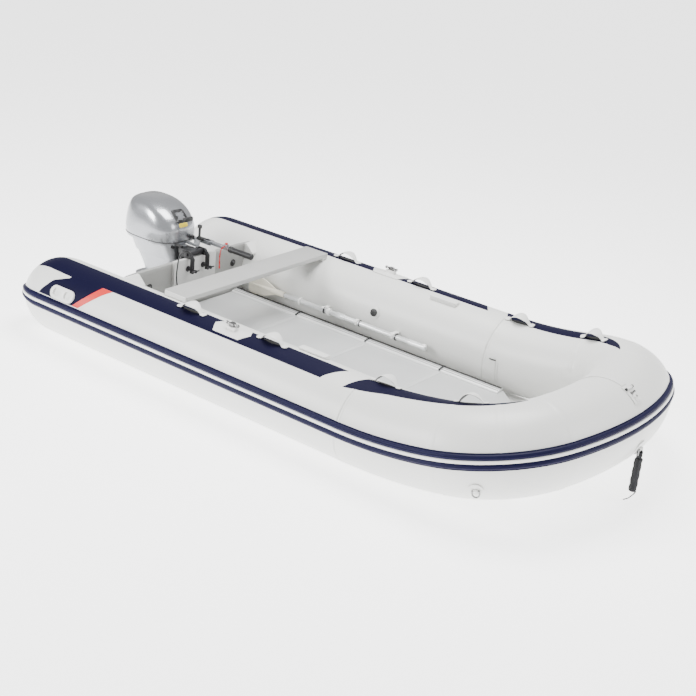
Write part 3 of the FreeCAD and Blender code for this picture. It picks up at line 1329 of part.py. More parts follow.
PULL_LENGTH, PULL_WIDTH, PULL_LEVEL = 74.0, 27.0, 672.0
behind_pull = Part.makeBox(600, PULL_LENGTH, PULL_WIDTH, Vector(size.cowl_x, -PULL_LENGTH / 2, PULL_LEVEL))
pull_x = upper_cowl.common(behind_pull).BoundBox.XMax + 0.4
pull = Part.makeBox(22, PULL_LENGTH, PULL_WIDTH, Vector(pull_x, -PULL_LENGTH / 2, PULL_LEVEL))
pull = pull.makeFillet(6.0, [edge for edge in pull.Edges if edge.BoundBox.YLength > 50])
node("recoil_handle", feature("recoil_handle", pull))

latch_x = size.cowl_x - size.cowl_length / 2 - 5
latch = Part.makeBox(7, 46, 46, Vector(latch_x - 7, -23, 510))
latch = latch.fuse(Part.makeCylinder(5, 46, Vector(latch_x - 2, -23, 510), Vector(0, 1, 0))).removeSplitter()
node("cowl_latch", feature("cowl_latch", latch))


# ------------------------------------------------------------------ fuel hose
# Leaves a connector on the clamp bracket, drops inside the transom and lies coiled on the floor behind the seat.
HOSE_DIAMETER = 8.0
bracket_side = -(size.bracket_inside + size.bracket_plate)
hose_start = Vector(size.pad_thickness + 36, bracket_side - 6.4, size.tilt_z - 4)
FLOOR_TOP = size.floor_level + 0.3
COIL_RADIUS, COIL_TUBE = 72.0, 19.0
coil_centre = Vector(150, -232, FLOOR_TOP + COIL_TUBE)
HOSE_ROUTE = [
    hose_start, hose_start + Vector(0, -14, 37), hose_start + Vector(-1, -48, 57), hose_start + Vector(0, -88, 50),
    hose_start + Vector(1, -114, 20), hose_start + Vector(0, -119, -30), hose_start + Vector(-4, -121, -85),
    hose_start + Vector(-2, -117, -141), hose_start + Vector(6, -110, -197), hose_start + Vector(18, -104, -252),
    hose_start + Vector(32, -100, -309),
]
node("fuel_hose", feature("fuel_hose", cord(HOSE_ROUTE, HOSE_DIAMETER, "fuel_hose")))
coil = Part.makeTorus(COIL_RADIUS, COIL_TUBE, coil_centre)
node("fuel_hose_coil", feature("fuel_hose_coil", coil))


# ------------------------------------------------------------------ check and write
doc.recompute()
for item in doc.Objects:
    if any(state in ("Invalid", "Error") for state in item.State):
        raise RuntimeError(f"{item.Name} failed: {item.State}")
os.makedirs("parts", exist_ok=True)
for name, item in nodes.items():
    if item.Shape.isNull() or not item.Shape.isValid():
        raise RuntimeError(f"{name} has no valid shape")
    item.Shape.exportStep(f"parts/{name}.step")
print(len(nodes), "nodes written")
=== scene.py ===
"""Inflatable dinghy with an aluminium floor, stowed oars and a clamped outboard motor."""
import json
import math
import bmesh
import bpy
import numpy as np
from mathutils import Matrix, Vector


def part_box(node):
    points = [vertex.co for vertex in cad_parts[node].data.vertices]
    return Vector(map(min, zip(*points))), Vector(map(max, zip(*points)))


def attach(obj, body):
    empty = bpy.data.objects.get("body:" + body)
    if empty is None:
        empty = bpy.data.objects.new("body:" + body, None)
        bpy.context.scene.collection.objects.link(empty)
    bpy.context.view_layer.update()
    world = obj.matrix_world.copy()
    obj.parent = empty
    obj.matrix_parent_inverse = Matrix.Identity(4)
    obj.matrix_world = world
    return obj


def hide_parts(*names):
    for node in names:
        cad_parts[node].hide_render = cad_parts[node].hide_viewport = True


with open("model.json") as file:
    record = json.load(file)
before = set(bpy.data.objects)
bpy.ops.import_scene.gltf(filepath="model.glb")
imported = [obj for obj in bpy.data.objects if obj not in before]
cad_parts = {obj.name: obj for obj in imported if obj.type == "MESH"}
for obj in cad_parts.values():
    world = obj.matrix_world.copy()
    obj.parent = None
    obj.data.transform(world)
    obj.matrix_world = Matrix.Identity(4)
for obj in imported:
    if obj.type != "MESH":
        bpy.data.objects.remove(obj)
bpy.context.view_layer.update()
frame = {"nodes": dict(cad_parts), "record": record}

# ---------------------------------------------------------------- studio: floor, lights and camera
# A white seamless floor under large soft lamps.  The camera stands off the starboard bow, a little
# above head height, with a slight tilt of the horizon.
CAMERA_PLACE = (5.446, -5.858, 3.238)
CAMERA_YAW, CAMERA_PITCH, CAMERA_ROLL = 2.18829, -0.39466, 0.1060
CAMERA_LENS = 67.66


def camera_axes(yaw, pitch, roll):
    """Right, up and backward axes: forward from yaw and pitch, then right and up turned by the roll."""
    forward = np.array([math.cos(pitch) * math.cos(yaw), math.cos(pitch) * math.sin(yaw), math.sin(pitch)])
    right = np.cross(forward, [0, 0, 1])
    right /= np.linalg.norm(right)
    above = np.cross(right, forward)
    turned_right = right * math.cos(roll) + above * math.sin(roll)
    turned_up = above * math.cos(roll) - right * math.sin(roll)
    return turned_right, turned_up, -forward


camera = bpy.data.objects.new("camera", bpy.data.cameras.new("camera"))
bpy.context.scene.collection.objects.link(camera)
camera.data.lens = CAMERA_LENS
camera.data.sensor_width = 36.0
camera.data.clip_end = 60.0
axes = camera_axes(CAMERA_YAW, CAMERA_PITCH, CAMERA_ROLL)
camera.matrix_world = Matrix([[axes[0][row], axes[1][row], axes[2][row], CAMERA_PLACE[row]]
                              for row in range(3)] + [[0, 0, 0, 1]])
bpy.context.scene.camera = camera


def soft_lamp(name, place, aim, size, power):
    """A square lamp at a place, turned to face a point."""
    lamp = bpy.data.objects.new(name, bpy.data.lights.new(name, "AREA"))
    bpy.context.scene.collection.objects.link(lamp)
    lamp.data.shape = "SQUARE"
    lamp.data.size = size
    lamp.data.energy = power
    way = np.array(aim, float) - np.array(place, float)
    back = -way / np.linalg.norm(way)
    side = np.cross([0, 0, 1], back)
    side /= np.linalg.norm(side)
    over = np.cross(back, side)
    lamp.matrix_world = Matrix([[side[row], over[row], back[row], place[row]] for row in range(3)]
                               + [[0, 0, 0, 1]])


soft_lamp("lamp_overhead", (1.2, 0.6, 5.2), (1.2, 0.0, 0.3), 3.2, 520)
soft_lamp("lamp_left", (-2.6, -5.6, 3.4), (0.8, -0.4, 0.3), 2.2, 450)
soft_lamp("lamp_bow", (6.4, 1.2, 3.0), (2.2, 0.0, 0.3), 2.0, 90)

world = bpy.data.worlds.new("studio")
bpy.context.scene.world = world
world.use_nodes = True
world.node_tree.nodes["Background"].inputs["Color"].default_value = (1.0, 1.0, 1.0, 1.0)
world.node_tree.nodes["Background"].inputs["Strength"].default_value = 0.80

floor_mesh = bpy.data.meshes.new("studio_floor")
FLOOR_REACH = 30.0
FLOOR_DROP = -0.001
floor_corners = [(x * FLOOR_REACH, y * FLOOR_REACH, FLOOR_DROP)
                 for x, y in ((-1, -1), (1, -1), (1, 1), (-1, 1))]
floor_mesh.from_pydata(floor_corners, [], [(0, 1, 2, 3)])
studio_floor = bpy.data.objects.new("studio_floor", floor_mesh)
bpy.context.scene.collection.objects.link(studio_floor)
floor_paint = bpy.data.materials.new("studio_floor")
floor_paint.use_nodes = True
floor_shader = floor_paint.node_tree.nodes["Principled BSDF"]
floor_shader.inputs["Base Color"].default_value = (0.93, 0.93, 0.93, 1)
floor_shader.inputs["Roughness"].default_value = 0.8
floor_shader.inputs["Emission Color"].default_value = (1.0, 1.0, 1.0, 1)
floor_shader.inputs["Emission Strength"].default_value = 2.2
floor_mesh.materials.append(floor_paint)

# ---------------------------------------------------------------- air tubes
# Three chambers of coated fabric on one centre line: two straight sides with tapered sterns, and a bow
# that sweeps up and round.  Panels meet in lap seams, with small puckers where the tape pulls.
tube_low, tube_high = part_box("starboard_tube")
TUBE_RADIUS = (tube_high.z - tube_low.z) / 2
TUBE_OFFSET = (tube_high.y + tube_low.y) / 2
SHEER_START = tube_high.x
TAPER_RADIUS, CAP_RADIUS = 0.300, 0.060
SHEER_RADIUS, SHEER_ANGLE = 2.690, math.radians(12.45)
CORNER_RADIUS, CORNER_ANGLE = 0.393, math.radians(69.84)
BOW_RADIUS = (-TUBE_OFFSET - CORNER_RADIUS * (1 - math.cos(CORNER_ANGLE))) / math.cos(CORNER_ANGLE)
SHEER_END = SHEER_START + SHEER_RADIUS * SHEER_ANGLE
CORNER_END = SHEER_END + CORNER_RADIUS * CORNER_ANGLE
BOW_END = CORNER_END + BOW_RADIUS * (math.pi / 2 - CORNER_ANGLE)
TAPER_ANGLE = math.acos((CAP_RADIUS - TUBE_RADIUS + TAPER_RADIUS) / TAPER_RADIUS)
TAPER_START = tube_low.x + TAPER_RADIUS * math.sin(TAPER_ANGLE)
TAPER_END = TAPER_START - TAPER_RADIUS * TAPER_ANGLE
STERN_END = TAPER_END - CAP_RADIUS


def full_turn(count):
    """Even angles round a circle, without the repeated last one."""
    return np.linspace(0, 2 * math.pi, count + 1)[:-1]


def swung(vectors, axis, angle):
    """Vectors turned about an axis through the origin, by one angle each: Rodrigues' formula."""
    angle = np.asarray(angle)[..., None]
    dots = np.sum(vectors * axis, axis=-1, keepdims=True)
    return (vectors * np.cos(angle) + np.cross(axis, vectors) * np.sin(angle)
            + axis * dots * (1 - np.cos(angle)))


def centre_frames(distance):
    """Centre, forward, outward and upward along the starboard tube, at distances measured along it.

    Straight as far as the sheer, then an arc upwards about a cross axis, then two arcs inwards about the
    tilted upright.  Abaft the taper's start the line stays straight.
    """
    distance = np.asarray(distance, float)
    straight = np.minimum(distance, SHEER_START)
    rise = np.clip((distance - SHEER_START) / SHEER_RADIUS, 0, SHEER_ANGLE)
    turn = np.clip((distance - SHEER_END) / CORNER_RADIUS, 0, CORNER_ANGLE)
    bow = np.clip((distance - CORNER_END) / BOW_RADIUS, 0, math.pi / 2 - CORNER_ANGLE)
    start = np.stack([straight, np.full_like(straight, TUBE_OFFSET), np.full_like(straight, TUBE_RADIUS)], -1)
    ahead, out, above = (np.broadcast_to(np.array(way, float), start.shape)
                         for way in ((1, 0, 0), (0, -1, 0), (0, 0, 1)))
    cross = np.array([0.0, -1.0, 0.0])
    hub = np.array([0.0, 0.0, SHEER_RADIUS])
    centre = start + hub + swung(np.broadcast_to(-hub, start.shape), cross, rise)
    ahead, above = swung(ahead, cross, rise), swung(above, cross, rise)
    upright = swung(np.array([[0.0, 0.0, 1.0]]), cross, np.array([SHEER_ANGLE]))[0]
    corner_ahead, corner_out = swung(ahead, upright, turn), swung(out, upright, turn)
    centre = centre - out * CORNER_RADIUS + corner_out * CORNER_RADIUS
    bow_ahead, bow_out = swung(corner_ahead, upright, bow), swung(corner_out, upright, bow)
    centre = centre - corner_out * BOW_RADIUS + bow_out * BOW_RADIUS
    return centre, bow_ahead, bow_out, above


def skin(distance, degrees, lift=0.0):
    """Points on the starboard tube, by distance along it and angle above its outer side, lifted off it.

    On the stern taper the radius and the lift follow the taper's arc; on the flat end cap the distance
    runs to the middle.
    """
    distance, degrees, lift = np.broadcast_arrays(*(np.asarray(v, float) for v in (distance, degrees, lift)))
    centre, ahead, out, above = centre_frames(distance)
    bend = np.clip((TAPER_START - distance) / TAPER_RADIUS, 0, TAPER_ANGLE)
    radius = TUBE_RADIUS - TAPER_RADIUS + TAPER_RADIUS * np.cos(bend)
    into_cap = np.clip(TAPER_END - distance, 0, CAP_RADIUS)
    radius = np.where(into_cap > 0, CAP_RADIUS - into_cap, radius)
    back = TAPER_RADIUS * np.sin(bend)
    centre = centre.copy()
    centre[..., 0] = np.where(distance < TAPER_START, TAPER_START - back, centre[..., 0])
    slope = np.where(into_cap > 0, math.pi / 2, bend)
    angle = np.radians(degrees)[..., None]
    radial = out * np.cos(angle) + above * np.sin(angle)
    reach = (radius + lift * np.cos(slope))[..., None]
    return centre + radial * reach - ahead * (lift * np.sin(slope))[..., None]


def to_port(points):
    """The same points on the other side of the boat."""
    return points * np.array([1.0, -1.0, 1.0])


def whole_line(points):
    """A starboard grid that ends on the centre plane, carried on to port."""
    return np.concatenate([points, to_port(points)[-2::-1]], axis=0)


def mesh_piece(name, points, faces, uvs=None, material=None, sharp=None):
    """A mesh object from points, a list of face arrays and one (u, v) per point.

    The signed volume, summed over fans of each face, shows a shape turned inside out, and its faces are
    then reversed.
    """
    total = 0.0
    for block in faces:
        corner = points[block]
        for k in range(1, block.shape[1] - 1):
            total += np.sum(corner[:, 0] * np.cross(corner[:, k], corner[:, k + 1]))
    if total < 0:
        faces = [block[:, ::-1] for block in faces]
    mesh = bpy.data.meshes.new(name)
    mesh.from_pydata(points.tolist(), [], [row for block in faces for row in block.tolist()])
    if uvs is not None:
        layer = mesh.uv_layers.new(name="cloth")
        corners = np.concatenate([block.reshape(-1) for block in faces])
        layer.data.foreach_set("uv", uvs[corners].reshape(-1).astype(np.float32))
    mesh.polygons.foreach_set("use_smooth", np.ones(len(mesh.polygons), bool))
    if sharp is not None:
        mesh.set_sharp_from_angle(angle=math.radians(sharp))
    piece = bpy.data.objects.new(name, mesh)
    bpy.context.scene.collection.objects.link(piece)
    if material is not None:
        mesh.materials.append(material)
    return piece


def quads(rows, columns, wrap_rows=False, wrap_columns=False, base=0):
    """Corner numbers of a grid's faces, joined round where it wraps."""
    row = np.arange(rows if wrap_rows else rows - 1)[:, None]
    column = np.arange(columns if wrap_columns else columns - 1)[None, :]
    below, beside = (row + 1) % rows, (column + 1) % columns
    corners = [row * columns + column, row * columns + beside,
               below * columns + beside, below * columns + column]
    return np.stack(np.broadcast_arrays(*corners), -1).reshape(-1, 4) + base


def ring_piece(name, grid, material=None, uv_size=None, sharp=None, closed=False):
    """A tube of closed rings, shape (rings, points, 3), with a flat cap at each end unless it is closed."""
    rings, count = grid.shape[:2]
    faces = [quads(rings, count, wrap_rows=closed, wrap_columns=True)]
    if not closed:
        first, last = np.arange(count)[::-1][None, :], (np.arange(count) + (rings - 1) * count)[None, :]
        faces += [first, last]
    uvs = None
    if uv_size is not None:
        along = np.linspace(0, uv_size[0], rings)[:, None] + np.zeros(count)[None, :]
        round_ = np.linspace(0, uv_size[1], count)[None, :] + np.zeros(rings)[:, None]
        uvs = np.stack([along, round_], -1).reshape(-1, 2)
    return mesh_piece(name, grid.reshape(-1, 3), faces, uvs, material, sharp)


def slab_piece(name, top, bottom, material=None, uvs=None, sharp=50):
    """A sheet with thickness: two grids joined round their rims."""
    rows, columns = top.shape[:2]
    count = rows * columns
    upper = quads(rows, columns)
    lower = quads(rows, columns, base=count)[:, ::-1]
    edge = np.concatenate([np.arange(columns), np.arange(1, rows) * columns + columns - 1,
                           (rows - 1) * columns + np.arange(columns - 2, -1, -1),
                           np.arange(rows - 2, 0, -1) * columns])
    after = np.roll(edge, -1)
    rim = np.stack([edge, edge + count, after + count, after], -1)
    points = np.concatenate([top.reshape(-1, 3), bottom.reshape(-1, 3)])
    if uvs is not None:
        uvs = np.concatenate([uvs.reshape(-1, 2)] * 2)
    return mesh_piece(name, points, [upper, lower, rim], uvs, material, sharp)


def new_group(name, inputs, outputs):
    """An empty shader group with named number, colour and vector sockets."""
    group = bpy.data.node_groups.new(name, "ShaderNodeTree")
    kinds = {"number": "NodeSocketFloat", "colour": "NodeSocketColor", "vector": "NodeSocketVector"}
    for direction, sockets in (("INPUT", inputs), ("OUTPUT", outputs)):
        for label, kind in sockets.items():
            group.interface.new_socket(label, in_out=direction, socket_type=kinds[kind])
    return group, group.nodes.new("NodeGroupInput"), group.nodes.new("NodeGroupOutput")


def connect(tree, source, target):
    tree.links.new(source, target)


def math_node(tree, operation, first, second=None):
    """A Math node whose inputs are sockets or numbers."""
    made = tree.nodes.new("ShaderNodeMath")
    made.operation = operation
    for slot_number, value in enumerate((first, second)):
        if value is None:
            continue
        if isinstance(value, (int, float)):
            made.inputs[slot_number].default_value = value
        else:
            connect(tree, value, made.inputs[slot_number])
    return made.outputs[0]


def mixed(tree, factor, first, second):
    """A colour between two, by a factor socket or number."""
    made = tree.nodes.new("ShaderNodeMix")
    made.data_type = "RGBA"
    for socket, value in ((made.inputs[0], factor), (made.inputs[6], first), (made.inputs[7], second)):
        if isinstance(value, (int, float)):
            socket.default_value = value
        elif isinstance(value, tuple):
            socket.default_value = (*value, 1.0)
        else:
            connect(tree, value, socket)
    return made.outputs[2]


def noise(tree, vector, scale, detail=3.0, roughness=0.55):
    made = tree.nodes.new("ShaderNodeTexNoise")
    made.inputs["Scale"].default_value = scale
    made.inputs["Detail"].default_value = detail
    made.inputs["Roughness"].default_value = roughness
    connect(tree, vector, made.inputs["Vector"])
    return made.outputs["Fac"]


# Plain weave under a coat: two crossed sine waves give the height, and slow noise the mottling.
weave_group, weave_in, weave_out = new_group(
    "coated_weave", {"Place": "vector", "Threads": "number", "Mottle": "number"},
    {"Height": "number", "Shade": "number"})
split = weave_group.nodes.new("ShaderNodeSeparateXYZ")
connect(weave_group, weave_in.outputs["Place"], split.inputs[0])
waves = []
for axis_number in (0, 1):
    turned = math_node(weave_group, "MULTIPLY", split.outputs[axis_number], weave_in.outputs["Threads"])
    waves.append(math_node(weave_group, "ABSOLUTE", math_node(weave_group, "SINE", turned)))
woven = math_node(weave_group, "MULTIPLY", waves[0], waves[1])
fine = noise(weave_group, weave_in.outputs["Place"], 420.0)
woven = math_node(weave_group, "ADD", woven, math_node(weave_group, "MULTIPLY", fine, 0.5))
connect(weave_group, woven, weave_out.inputs["Height"])
slow = noise(weave_group, weave_in.outputs["Place"], 2.6, 4.0)
slow = math_node(weave_group, "SUBTRACT", slow, 0.5)
shade = math_node(weave_group, "MULTIPLY", slow, weave_in.outputs["Mottle"])
connect(weave_group, shade, weave_out.inputs["Shade"])


def object_place(tree):
    return tree.nodes.new("ShaderNodeTexCoord").outputs["Object"]


def cloth_place(tree):
    return tree.nodes.new("ShaderNodeTexCoord").outputs["UV"]


def coated_fabric(name, colour, roughness, threads=2200.0, mottle=0.12, bump=0.06, use_uv=True, gloss=0.45):
    """Woven base cloth showing faintly through a smooth coat."""
    material = bpy.data.materials.new(name)
    material.use_nodes = True
    tree = material.node_tree
    shader = tree.nodes["Principled BSDF"]
    group = tree.nodes.new("ShaderNodeGroup")
    group.node_tree = weave_group
    connect(tree, cloth_place(tree) if use_uv else object_place(tree), group.inputs["Place"])
    group.inputs["Threads"].default_value = threads
    group.inputs["Mottle"].default_value = mottle
    darker = tuple(part * 0.86 for part in colour)
    lighter = tuple(min(1.0, part * 1.1) for part in colour)
    factor = math_node(tree, "ADD", group.outputs["Shade"], 0.5)
    connect(tree, mixed(tree, factor, darker, lighter), shader.inputs["Base Color"])
    rough = math_node(tree, "ADD", math_node(tree, "MULTIPLY", group.outputs["Shade"], 0.5), roughness)
    connect(tree, rough, shader.inputs["Roughness"])
    relief = tree.nodes.new("ShaderNodeBump")
    relief.inputs["Strength"].default_value = bump
    relief.inputs["Distance"].default_value = 0.0006
    connect(tree, group.outputs["Height"], relief.inputs["Height"])
    connect(tree, relief.outputs["Normal"], shader.inputs["Normal"])
    shader.inputs["Specular IOR Level"].default_value = gloss
    return material


tube_cloth = coated_fabric("pale_tube_cloth", (0.735, 0.738, 0.715), 0.36)
SEAM_LIFT, SEAM_HALF = 0.0010, 0.014
GORE_SEAMS = (SHEER_START, SHEER_END, SHEER_END + 0.24, CORNER_END, BOW_END)


def seam_lift(distance, degrees):
    """Raised tape at each seam, and a shallow ripple beside it that dies away in a few centimetres."""
    distance, degrees = np.broadcast_arrays(distance, degrees)
    lift = np.zeros_like(distance)
    for seam in GORE_SEAMS:
        gap = np.abs(distance - seam)
        lift = np.maximum(lift, SEAM_LIFT * np.clip((SEAM_HALF - gap) / 0.0015 + 0.5, 0, 1))
        ripple = 0.0011 * np.exp(-(gap / 0.035) ** 2) * np.sin(np.radians(degrees) * 19 + seam * 40)
        inside = np.clip((np.cos(np.radians(degrees - 180)) - 0.15) / 0.5, 0, 1)
        lift = lift + ripple * inside
    return lift


SEAM_STEPS = np.array([-0.045, -0.03, -0.0155, -0.0138, -0.0125, 0.0, 0.0125, 0.0138, 0.0155, 0.03, 0.045])


def spaced(first, last, step, extra=()):
    """Even places from first to last, with more packed round each extra place."""
    places = [np.arange(first, last, step), [last]]
    for middle in extra:
        places.append(middle + SEAM_STEPS)
    places = np.unique(np.concatenate(places))
    return places[(places >= first) & (places <= last)]


AROUND = np.linspace(0, 360, 145)[:-1]


def tube_piece(name, distances, whole):
    grid = skin(distances[:, None], AROUND[None, :], seam_lift(distances[:, None], AROUND[None, :]))
    if whole:
        grid = whole_line(grid)
    run = distances[-1] - distances[0]
    return ring_piece(name, grid, tube_cloth, (run * (2 if whole else 1), 2 * math.pi * TUBE_RADIUS))


side_places = np.concatenate([[STERN_END + 0.002, STERN_END + 0.03, TAPER_END - 0.004],
                              np.linspace(TAPER_END, TAPER_START, 26),
                              spaced(TAPER_START + 0.06, SHEER_START, 0.06, (SHEER_START,))])
starboard_chamber = tube_piece("starboard_air_tube", side_places, False)
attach(starboard_chamber, "hull")
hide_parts("starboard_tube")

port_lift = seam_lift(side_places[:, None], AROUND[None, :])
port_grid = to_port(skin(side_places[:, None], AROUND[None, :], port_lift))
port_chamber = ring_piece("port_air_tube", port_grid, tube_cloth, (2.6, 2 * math.pi * TUBE_RADIUS))
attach(port_chamber, "hull")
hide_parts("port_tube")

bow_places = spaced(SHEER_START + 0.0005, BOW_END, 0.02, GORE_SEAMS)
bow_chamber = tube_piece("bow_air_tube", bow_places, True)
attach(bow_chamber, "hull")
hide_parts("bow_tube")

# ---------------------------------------------------------------- rubbing strake
# A moulded rubber fender glued round the tubes: two ribs with fine grooves, and a white insert between
# them.  It wraps onto the stern taper.
STRAKE_ANGLE = 7.3
STRAKE_WRAP = math.radians(60)


def moulded_rubber(name, colour, roughness, grain=260.0, bump=0.12, fleck=0.06, gloss=0.5):
    """Moulded rubber or vinyl: fine grain in the bump, faint flecks in the colour."""
    material = bpy.data.materials.new(name)
    material.use_nodes = True
    tree = material.node_tree
    shader = tree.nodes["Principled BSDF"]
    place = object_place(tree)
    slow = noise(tree, place, 9.0, 4.0)
    darker = tuple(part * (1 - fleck) for part in colour)
    lighter = tuple(min(1.0, part * (1 + fleck)) for part in colour)
    connect(tree, mixed(tree, slow, darker, lighter), shader.inputs["Base Color"])
    rough = math_node(tree, "ADD", math_node(tree, "MULTIPLY", slow, 0.12), roughness - 0.06)
    connect(tree, rough, shader.inputs["Roughness"])
    relief = tree.nodes.new("ShaderNodeBump")
    relief.inputs["Strength"].default_value = bump
    relief.inputs["Distance"].default_value = 0.0004
    connect(tree, noise(tree, place, grain * 4, 2.0), relief.inputs["Height"])
    connect(tree, relief.outputs["Normal"], shader.inputs["Normal"])
    shader.inputs["Specular IOR Level"].default_value = gloss
    return material


navy_rubber = moulded_rubber("navy_strake_rubber", (0.0025, 0.0022, 0.026), 0.50, fleck=0.15, gloss=0.15)
white_rubber = moulded_rubber("white_stripe_rubber", (0.83, 0.83, 0.81), 0.34)


def rib(across, middle, half, height):
    """A rounded rib: a half ellipse of the given height, standing over its middle."""
    return height * np.sqrt(np.clip(1 - ((across - middle) / half) ** 2, 0, 1))


def strake_height(across):
    """Height of the fender over the tube: a thin web, two ribs, and shallow grooves along each."""
    height = 0.0034 + rib(across, 0.0225, 0.0145, 0.0125) + rib(across, -0.0225, 0.0145, 0.0125)
    height = np.where(np.abs(across) < 0.0095, 0.0046, height)
    for groove in (-0.0395, 0.0395, -0.0225, 0.0225):
        height = height - 0.0016 * np.exp(-((across - groove) / 0.0009) ** 2)
    edge = np.clip((0.045 - np.abs(across)) / 0.003, 0, 1)
    return 0.0006 + (height - 0.0006) * edge ** 0.5


def strip_along(name, across, height, material, places, low=0.0004):
    """A moulded strip carried along the tube from stern to stern, with a flat back just off the cloth."""
    turned = np.degrees(across / TUBE_RADIUS) + STRAKE_ANGLE
    lifts = np.concatenate([height, [low, low]])
    angles = np.concatenate([turned, [turned[-1], turned[0]]])
    grid = whole_line(skin(places[:, None], angles[None, :], lifts[None, :]))
    return ring_piece(name, grid, material, (places[-1] * 2, 0.1), sharp=40)


strake_places = np.unique(np.concatenate([
    np.linspace(TAPER_START - TAPER_RADIUS * STRAKE_WRAP, TAPER_START, 18),
    np.arange(TAPER_START, SHEER_START, 0.08),
    np.arange(SHEER_START, BOW_END, 0.018), [BOW_END]]))
strake_across = np.unique(np.concatenate([
    np.linspace(-0.045, 0.045, 61), 0.0225 + np.array([-0.0009, -0.0004, 0.0004, 0.0009]),
    -0.0225 + np.array([-0.0009, -0.0004, 0.0004, 0.0009]), [-0.0096, 0.0096, -0.0094, 0.0094]]))
strake = strip_along("rubbing_fender", strake_across, strake_height(strake_across), navy_rubber,
                     strake_places)
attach(strake, "hull")
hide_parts("rubbing_strake")

stripe_across = np.linspace(-0.0092, 0.0092, 15)
stripe_height = 0.0054 + 0.0082 * np.sqrt(np.clip(1 - (stripe_across / 0.0094) ** 4, 0, 1))
stripe = strip_along("fender_stripe", stripe_across, stripe_height, white_rubber, strake_places, 0.0050)
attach(stripe, "hull")
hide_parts("strake_stripe")

# ---------------------------------------------------------------- coloured wear patches
# Navy cloth glued over the tops of the tubes, cut round the carry handle at the stern and drawn to a
# point at the bow, with a red flash against the white side.
navy_cloth = coated_fabric("navy_patch_cloth", (0.0030, 0.0026, 0.019), 0.55, mottle=0.3, gloss=0.08)
red_cloth = coated_fabric("red_flash_cloth", (0.62, 0.028, 0.022), 0.38, mottle=0.2)
PATCH_TOP, PATCH_BACK = 0.0013, 0.0002
BAND_LOW, BAND_FOOT = 62.0, 19.5


def patch(name, angles, aft, fore, material, columns=120, side="starboard"):
    """Cloth between an aft and a forward edge, both given for each angle round the tube."""
    share = np.linspace(0, 1, columns)[None, :]
    places = aft[:, None] + (fore - aft)[:, None] * share
    turned = np.broadcast_to(angles[:, None], places.shape)
    top, back = skin(places, turned, PATCH_TOP), skin(places, turned, PATCH_BACK)
    if side == "port":
        top, back = to_port(top), to_port(back)
    uvs = np.stack([places, np.radians(turned) * TUBE_RADIUS], -1)
    return slab_piece(name, top, back, material, uvs)


def stern_edge(angles):
    """Aft edge of the stern patch: a long upper tail, a notch, then a rounded lower part."""
    return np.interp(angles, [19.5, 26, 44, 56, 59.0, 61.0, 64, 90, 95],
                     [-0.378, -0.362, -0.305, -0.205, -0.200, -0.520, -0.548, -0.530, -0.512])


def flash_edge(angles):
    """Where the navy meets the red flash: even steps along for even steps in height up the side."""
    height = np.sin(np.radians(angles))
    low, high = math.sin(math.radians(BAND_FOOT)), math.sin(math.radians(BAND_LOW))
    return -0.085 + 0.145 * (height - low) / (high - low)


side_angles = np.unique(np.concatenate([np.linspace(BAND_FOOT, 61.9, 40), np.linspace(62.0, 95.0, 22),
                                        [58.5, 59.0, 59.5, 60.0, 60.5, 61.0, 61.5, 61.95]]))
band_end = np.interp(side_angles, [62, 66, 90, 95], [1.715, 1.720, 1.785, 1.800])
main_fore = np.where(side_angles < 61.97, flash_edge(side_angles), band_end)
fore_share = np.linspace(0, 1, 24)
FORE_START, FORE_END = 1.865, 2.930
flash_angles = np.linspace(BAND_FOOT, 61.6, 36)
flash_aft = flash_edge(flash_angles) + 0.0015
flash_width = np.interp(flash_angles, [19.5, 50, 58, 61.6], [0.052, 0.066, 0.078, 0.084])
navy_pieces = []
for side in ("starboard", "port"):
    stern_patch = patch(f"{side}_stern_patch", side_angles, stern_edge(side_angles), main_fore, navy_cloth,
                        side=side)
    navy_pieces.append(stern_patch)
    share = np.linspace(0, 1, 90)
    lowest = np.interp(share, [0, 0.12, 0.25, 0.6, 0.85, 1], [62, 68, 76, 87, 94, 98.6])
    highest = np.interp(share, [0, 0.25, 0.6, 0.85, 1], [95, 103, 108, 106, 99.4])
    angle_grid = lowest[None, :] + (highest - lowest)[None, :] * fore_share[:, None]
    slant = 0.07 * fore_share[:, None] * (1 - share[None, :])
    place_grid = FORE_START + slant + (FORE_END - FORE_START) * share[None, :]
    top, back = skin(place_grid, angle_grid, PATCH_TOP), skin(place_grid, angle_grid, PATCH_BACK)
    if side == "port":
        top, back = to_port(top), to_port(back)
    bow_patch = slab_piece(f"{side}_bow_patch", top, back, navy_cloth,
                           np.stack([place_grid, np.radians(angle_grid) * TUBE_RADIUS], -1))
    flash = patch(f"{side}_red_flash", flash_angles, flash_aft, flash_aft + flash_width, red_cloth, 8, side)
    navy_pieces.append(bow_patch)
    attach(flash, "hull")
    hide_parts("accent_stripes")
for piece in navy_pieces:
    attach(piece, "hull")
    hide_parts("navy_patches")

# ---------------------------------------------------------------- hull bottom and inflatable keel
# Heavy coated fabric glued between the tubes, held in a V by an inflated keel under the floor boards.
node_body = {name: body for body, names in frame["record"]["behaviour"]["bodies"].items() for name in names}


